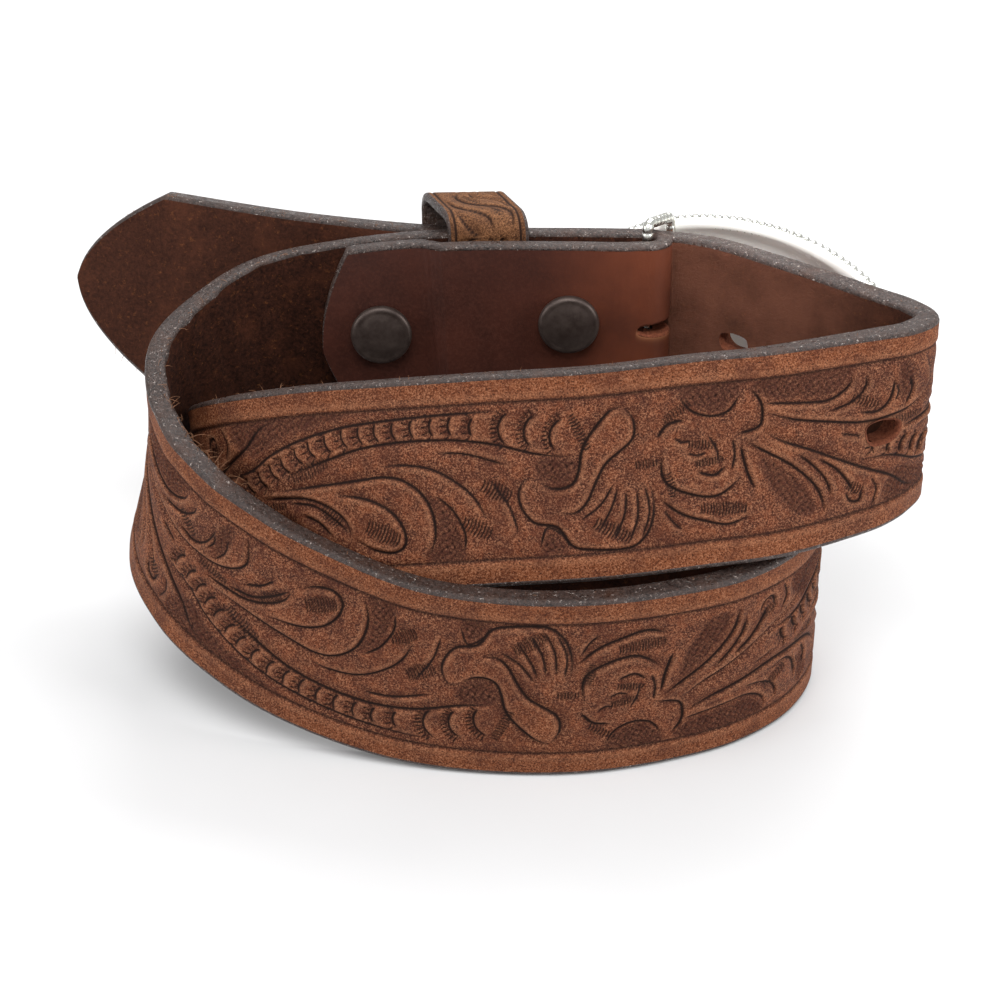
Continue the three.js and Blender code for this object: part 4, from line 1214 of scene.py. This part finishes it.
class Nodes:
    """A few short calls for building a material's nodes."""

    def __init__(self, name):
        self.material = bpy.data.materials.new(name)
        self.material.use_nodes = True
        self.tree = self.material.node_tree
        self.shader = self.tree.nodes["Principled BSDF"]
        coordinates = self.add("ShaderNodeTexCoord")
        self.place = coordinates.outputs["Object"]

    def add(self, kind, **settings):
        node = self.tree.nodes.new(kind)
        for key, value in settings.items():
            setattr(node, key, value)
        return node

    def link(self, source, target):
        self.tree.links.new(source, target)

    def noise(self, size_mm, detail=3.0, roughness=0.55, distortion=0.0):
        node = self.add("ShaderNodeTexNoise")
        self.link(self.place, node.inputs["Vector"])
        node.inputs["Scale"].default_value = 1000 / size_mm
        node.inputs["Detail"].default_value = detail
        node.inputs["Roughness"].default_value = roughness
        node.inputs["Distortion"].default_value = distortion
        return node.outputs["Fac"]

    def spread(self, value, low, high, new_low=0.0, new_high=1.0):
        node = self.add("ShaderNodeMapRange")
        self.link(value, node.inputs["Value"])
        node.inputs["From Min"].default_value = low
        node.inputs["From Max"].default_value = high
        node.inputs["To Min"].default_value = new_low
        node.inputs["To Max"].default_value = new_high
        return node.outputs["Result"]

    def field(self, name):
        return self.add("ShaderNodeAttribute", attribute_name=name).outputs["Fac"]

    def combine(self, kind, first, second):
        node = self.add("ShaderNodeMath", operation=kind)
        for socket, value in zip(node.inputs, (first, second)):
            if isinstance(value, (int, float)):
                socket.default_value = value
            else:
                self.link(value, socket)
        return node.outputs["Value"]

    def blend(self, share, first, second):
        node = self.add("ShaderNodeMix", data_type="RGBA")
        for socket, value in ((node.inputs[0], share), (node.inputs[6], first), (node.inputs[7], second)):
            if isinstance(value, tuple):
                socket.default_value = (*value, 1)
            elif isinstance(value, (int, float)):
                socket.default_value = value
            else:
                self.link(value, socket)
        return node.outputs[2]

    def bump(self, height, distance_mm, strength=1.0, after=None):
        node = self.add("ShaderNodeBump")
        node.inputs["Strength"].default_value = strength
        node.inputs["Distance"].default_value = distance_mm * MM
        self.link(height, node.inputs["Height"])
        if after is not None:
            self.link(after, node.inputs["Normal"])
        return node.outputs["Normal"]

    def finish(self, color, roughness, normal, specular=0.5, metallic=0.0):
        shader = self.shader.inputs
        self.link(color, shader["Base Color"])
        if isinstance(roughness, (int, float)):
            shader["Roughness"].default_value = roughness
        else:
            self.link(roughness, shader["Roughness"])
        if normal is not None:
            self.link(normal, shader["Normal"])
        shader["Specular IOR Level"].default_value = specular
        shader["Metallic"].default_value = metallic
        return self.material


def tooled_leather(name, middle, light, dark, border, ground, groove_shade):
    n = Nodes(name)
    deepest = tuple(0.35 * channel for channel in dark)
    cloud = n.noise(15, 4, 0.6)
    mottle = n.noise(2.2, 4, 0.7)
    speck = n.noise(0.32, 3, 0.9)
    color = n.blend(n.spread(mottle, 0.38, 0.62, 0.15, 1), dark, middle)
    color = n.blend(n.combine("MULTIPLY", n.field("border"), 0.75), color, border)
    color = n.blend(n.spread(cloud, 0.52, 0.72, 0, 0.4), color, border)
    color = n.blend(n.spread(cloud, 0.47, 0.3, 0, 0.6), color, dark)
    # Painted shade: the face is darker where it is pressed deeper.
    color = n.blend(n.spread(n.field("pressed"), 0.02, 0.5, 0, 0.75), color, dark)
    # Painted highlight on the raised lips beside the cuts and border lines.
    color = n.blend(n.combine("MULTIPLY", n.field("lip"), 0.4), color, light)
    color = n.blend(n.spread(speck, 0.5, 0.64, 0, 0.95), color, light)
    color = n.blend(n.spread(speck, 0.49, 0.36, 0, 1), color, deepest)
    color = n.blend(n.combine("MULTIPLY", n.field("ground"), 0.5), color, ground)
    color = n.blend(n.spread(n.noise(5, 5, 0.75), 0.52, 0.36, 0, 0.5), color, dark)
    worn = n.combine("MULTIPLY", n.field("scuff"), n.spread(speck, 0.3, 0.7, 0, 0.8))
    color = n.blend(worn, color, light)
    # Painted shade in the cuts, pebble pits and border lines.
    color = n.blend(n.spread(n.field("cut"), 0.05, 0.6, 0, 0.95), color, groove_shade)
    rough = n.spread(speck, 0.3, 0.7, 0.55, 0.8)
    normal = n.bump(speck, 0.16, 1)
    normal = n.bump(mottle, 0.22, 0.6, normal)
    return n.finish(color, rough, normal, 0.16)


def flap_leather():
    n = Nodes("smooth flap leather")
    patch = n.noise(14, 4, 0.6)
    fine = n.noise(0.6, 4, 0.65)
    color = n.blend(n.spread(patch, 0.35, 0.65), (0.034, 0.0095, 0.006), (0.06, 0.016, 0.0095))
    color = n.blend(n.spread(fine, 0.45, 0.75, 0, 0.35), color, (0.11, 0.03, 0.015))
    # Lighter towards the fold.
    folded = n.combine("MULTIPLY", n.field("fold"), n.spread(patch, 0.3, 0.6, 0.4, 0.9))
    color = n.blend(folded, color, (0.13, 0.033, 0.014))
    color = n.blend(n.combine("MULTIPLY", n.field("scuff"), 0.75), color, (0.32, 0.13, 0.06))
    rough = n.spread(fine, 0.3, 0.7, 0.45, 0.62)
    normal = n.bump(fine, 0.06, 0.6)
    normal = n.bump(patch, 0.5, 0.25, normal)
    return n.finish(color, rough, normal, 0.3)


def edge_leather():
    n = Nodes("burnished edge")
    fine = n.noise(0.45, 4, 0.8)
    grit = n.noise(1.3, 3, 0.7)
    patch = n.noise(5, 3, 0.6)
    color = n.blend(n.spread(fine, 0.38, 0.62), (0.01, 0.006, 0.005), (0.07, 0.042, 0.034))
    color = n.blend(n.spread(patch, 0.5, 0.75, 0, 0.5), color, (0.075, 0.03, 0.015))
    # Painted glints: small light flecks stand in for sparkling highlights on the edge.
    color = n.blend(n.spread(n.noise(0.6, 3, 0.85), 0.61, 0.68, 0, 0.85), color, (0.5, 0.43, 0.39))
    rough = n.spread(grit, 0.38, 0.6, 0.2, 0.55)
    normal = n.bump(grit, 0.45, 0.9)
    normal = n.bump(fine, 0.22, 0.9, normal)
    return n.finish(color, rough, normal, 0.45)


def flesh_leather():
    n = Nodes("flesh side")
    nap = n.noise(0.7, 5, 0.75, 0.4)
    patch = n.noise(9, 3, 0.6)
    color = n.blend(n.spread(nap, 0.35, 0.68), (0.012, 0.0045, 0.003), (0.06, 0.02, 0.011))
    color = n.blend(n.spread(patch, 0.5, 0.8, 0, 0.4), color, (0.13, 0.04, 0.018))
    color = n.blend(n.spread(n.noise(1.1, 4, 0.85), 0.58, 0.7, 0, 0.6), color, (0.2, 0.07, 0.022))
    # Lighter flesh between the stations set on the strap's body, and a little towards the tip.
    lightened_flesh = n.combine("MULTIPLY", n.field("lightened_flesh"), n.spread(patch, 0.25, 0.6, 0.35, 0.9))
    color = n.blend(lightened_flesh, color, (0.145, 0.055, 0.033))
    normal = n.bump(nap, 0.4, 0.9)
    return n.finish(color, 0.85, normal, 0.1)


def raw_wall(name, low, high):
    n = Nodes(name)
    fibre = n.noise(0.5, 4, 0.75)
    color = n.blend(n.spread(fibre, 0.35, 0.68), low, high)
    return n.finish(color, 0.8, n.bump(fibre, 0.25, 0.9), 0.2)


def dark_cap_metal():
    n = Nodes("gunmetal snap")
    fine = n.noise(2.4, 5, 0.7)
    color = n.blend(n.spread(fine, 0.35, 0.7), (0.05, 0.034, 0.029), (0.085, 0.062, 0.053))
    rough = n.spread(fine, 0.3, 0.7, 0.36, 0.5)
    return n.finish(color, rough, n.bump(fine, 0.03, 0.3), 0.5, 0.55)


def bright_metal(name, low, high, metallic):
    n = Nodes(name)
    cloud = n.noise(6, 4, 0.6)
    color = n.blend(n.spread(cloud, 0.35, 0.7), low, high)
    rough = n.spread(cloud, 0.3, 0.7, 0.16, 0.32)
    return n.finish(color, rough, n.bump(n.noise(0.8, 3, 0.6), 0.012, 0.6), 0.5, metallic)


MATERIALS = {
    "tooled": tooled_leather(
        "tooled strap leather", (0.17, 0.043, 0.0155), (0.4, 0.18, 0.095), (0.052, 0.0125, 0.007),
        (0.19, 0.05, 0.014), (0.08, 0.027, 0.017), (0.009, 0.0028, 0.0016)),
    "keeper": tooled_leather(
        "tooled keeper leather", (0.17, 0.07, 0.028), (0.32, 0.15, 0.07), (0.075, 0.028, 0.012),
        (0.2, 0.08, 0.03), (0.08, 0.035, 0.02), (0.02, 0.008, 0.005)),
    "flap": flap_leather(),
    "edge": edge_leather(),
    "flesh": flesh_leather(),
    "wall": raw_wall("cut leather", (0.08, 0.02, 0.01), (0.24, 0.075, 0.035)),
    "fibre": raw_wall("loose fibre", (0.16, 0.07, 0.035), (0.4, 0.2, 0.11)),
    "snap": dark_cap_metal(),
    "front": bright_metal("plate front", (0.62, 0.62, 0.58), (0.82, 0.82, 0.78), 1.0),
    # White and not metal: a painted stand-in for the polished back's bright reflection.
    "back": bright_metal("plate back as painted reflection", (0.97, 0.97, 0.93), (1, 1, 0.97), 0.0),
    "rim": bright_metal("bead rim", (0.66, 0.66, 0.6), (0.84, 0.84, 0.8), 1.0),
}

FINE_STEP = 0.25
PLAIN_STEP = 0.42
strap_pieces = [
    grain_piece("flap_face", FIRST, 3, 0.4, tooled=False),
    grain_piece("strap_face_left", 3, 100, PLAIN_STEP),
    grain_piece("strap_face_lower_front", 100, 262, FINE_STEP),
    grain_piece("strap_face_lower_back", 262, 392, PLAIN_STEP),
    grain_piece("strap_face_upper_front", 392, 562, FINE_STEP),
    grain_piece("strap_face_end", 562, LAST, PLAIN_STEP),
    strap_body(),
]
for made in strap_pieces:
    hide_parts("strap")

loop = keeper()
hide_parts("keeper")
fibres = loose_fibres()
for number, (from_fold, rise) in enumerate(zip(SNAPS_FROM_FOLD, SNAP_RISES), start=1):
    cap = snap_cap(f"snap_top_{number}", from_fold, rise)
    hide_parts(f"snap_cap_{number}")
    post_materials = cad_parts[f"snap_post_{number}"].data.materials
    post_materials.clear()
    post_materials.append(MATERIALS["snap"])
front_plate = plate()
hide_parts("buckle_plate")
wire_loop = bail()
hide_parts("buckle_bail")


def white_floor():
    reach = 3.0
    mesh = bpy.data.meshes.new("floor")
    corners = [(-reach, -reach, 0), (reach, -reach, 0), (reach, reach, 0), (-reach, reach, 0)]
    mesh.from_pydata(corners, [], [(0, 1, 2, 3)])
    floor = bpy.data.objects.new("floor", mesh)
    bpy.context.scene.collection.objects.link(floor)
    n = Nodes("white floor")
    faint = n.blend(n.spread(n.noise(40, 2, 0.5), 0.3, 0.7), (0.7, 0.7, 0.705), (0.72, 0.72, 0.725))
    mesh.materials.append(n.finish(faint, 0.9, None, 0.1))
    n.shader.inputs["Emission Color"].default_value = (1, 1, 1, 1)
    n.shader.inputs["Emission Strength"].default_value = 0.03


def hang(name, lamp, place, target):
    """Puts a lamp at a place, turned to its target."""
    holder = bpy.data.objects.new(name, lamp)
    holder.location = place
    holder.rotation_euler = (Vector(target) - Vector(place)).to_track_quat("-Z", "Y").to_euler()
    bpy.context.scene.collection.objects.link(holder)


def soft_light(name, place, target, size, power):
    lamp = bpy.data.lights.new(name, "AREA")
    lamp.shape = "RECTANGLE"
    lamp.size, lamp.size_y = size
    lamp.energy = power
    hang(name, lamp, place, target)


def glint(place, target, cone, power):
    """A narrow light for the highlight on the snap."""
    lamp = bpy.data.lights.new("glint", "SPOT")
    lamp.energy = power
    lamp.spot_size = math.radians(cone)
    lamp.spot_blend = 0.6
    lamp.shadow_soft_size = 0.03
    hang("glint", lamp, place, target)


def world_light(strength):
    world = bpy.data.worlds.new("studio")
    world.use_nodes = True
    background = world.node_tree.nodes["Background"].inputs
    background["Color"].default_value = (1, 1, 1, 1)
    background["Strength"].default_value = strength
    bpy.context.scene.world = world


CAMERA_PLACE = (0.002462, -0.406844, 0.305983)
CAMERA_TILT = 56
CAMERA_LENS = 93.6
CAMERA_SENSOR = 36


def photo_camera():
    lens = bpy.data.cameras.new("camera")
    lens.lens = CAMERA_LENS
    lens.sensor_width = CAMERA_SENSOR
    holder = bpy.data.objects.new("camera", lens)
    holder.location = CAMERA_PLACE
    holder.rotation_euler = (math.radians(CAMERA_TILT), 0, 0)
    bpy.context.scene.collection.objects.link(holder)
    bpy.context.scene.camera = holder


white_floor()
world_light(0.6)
soft_light("key", (-0.05, -0.3, 0.8), (0, 0, 0.03), (0.6, 0.5), 3.9)
soft_light("back", (0.15, 0.45, 0.6), (0, 0, 0.05), (0.5, 0.3), 3.4)
soft_light("right", (0.7, -0.25, 0.35), (0.05, 0, 0.05), (0.3, 0.3), 2.6)
soft_light("left", (-0.7, -0.2, 0.35), (-0.05, 0, 0.05), (0.3, 0.3), 1.6)
glint((0.05, -0.3, 0.5), (0.052, 0.037, 0.079), 7, 20)
photo_camera()
bpy.context.scene.view_settings.view_transform = "Standard"
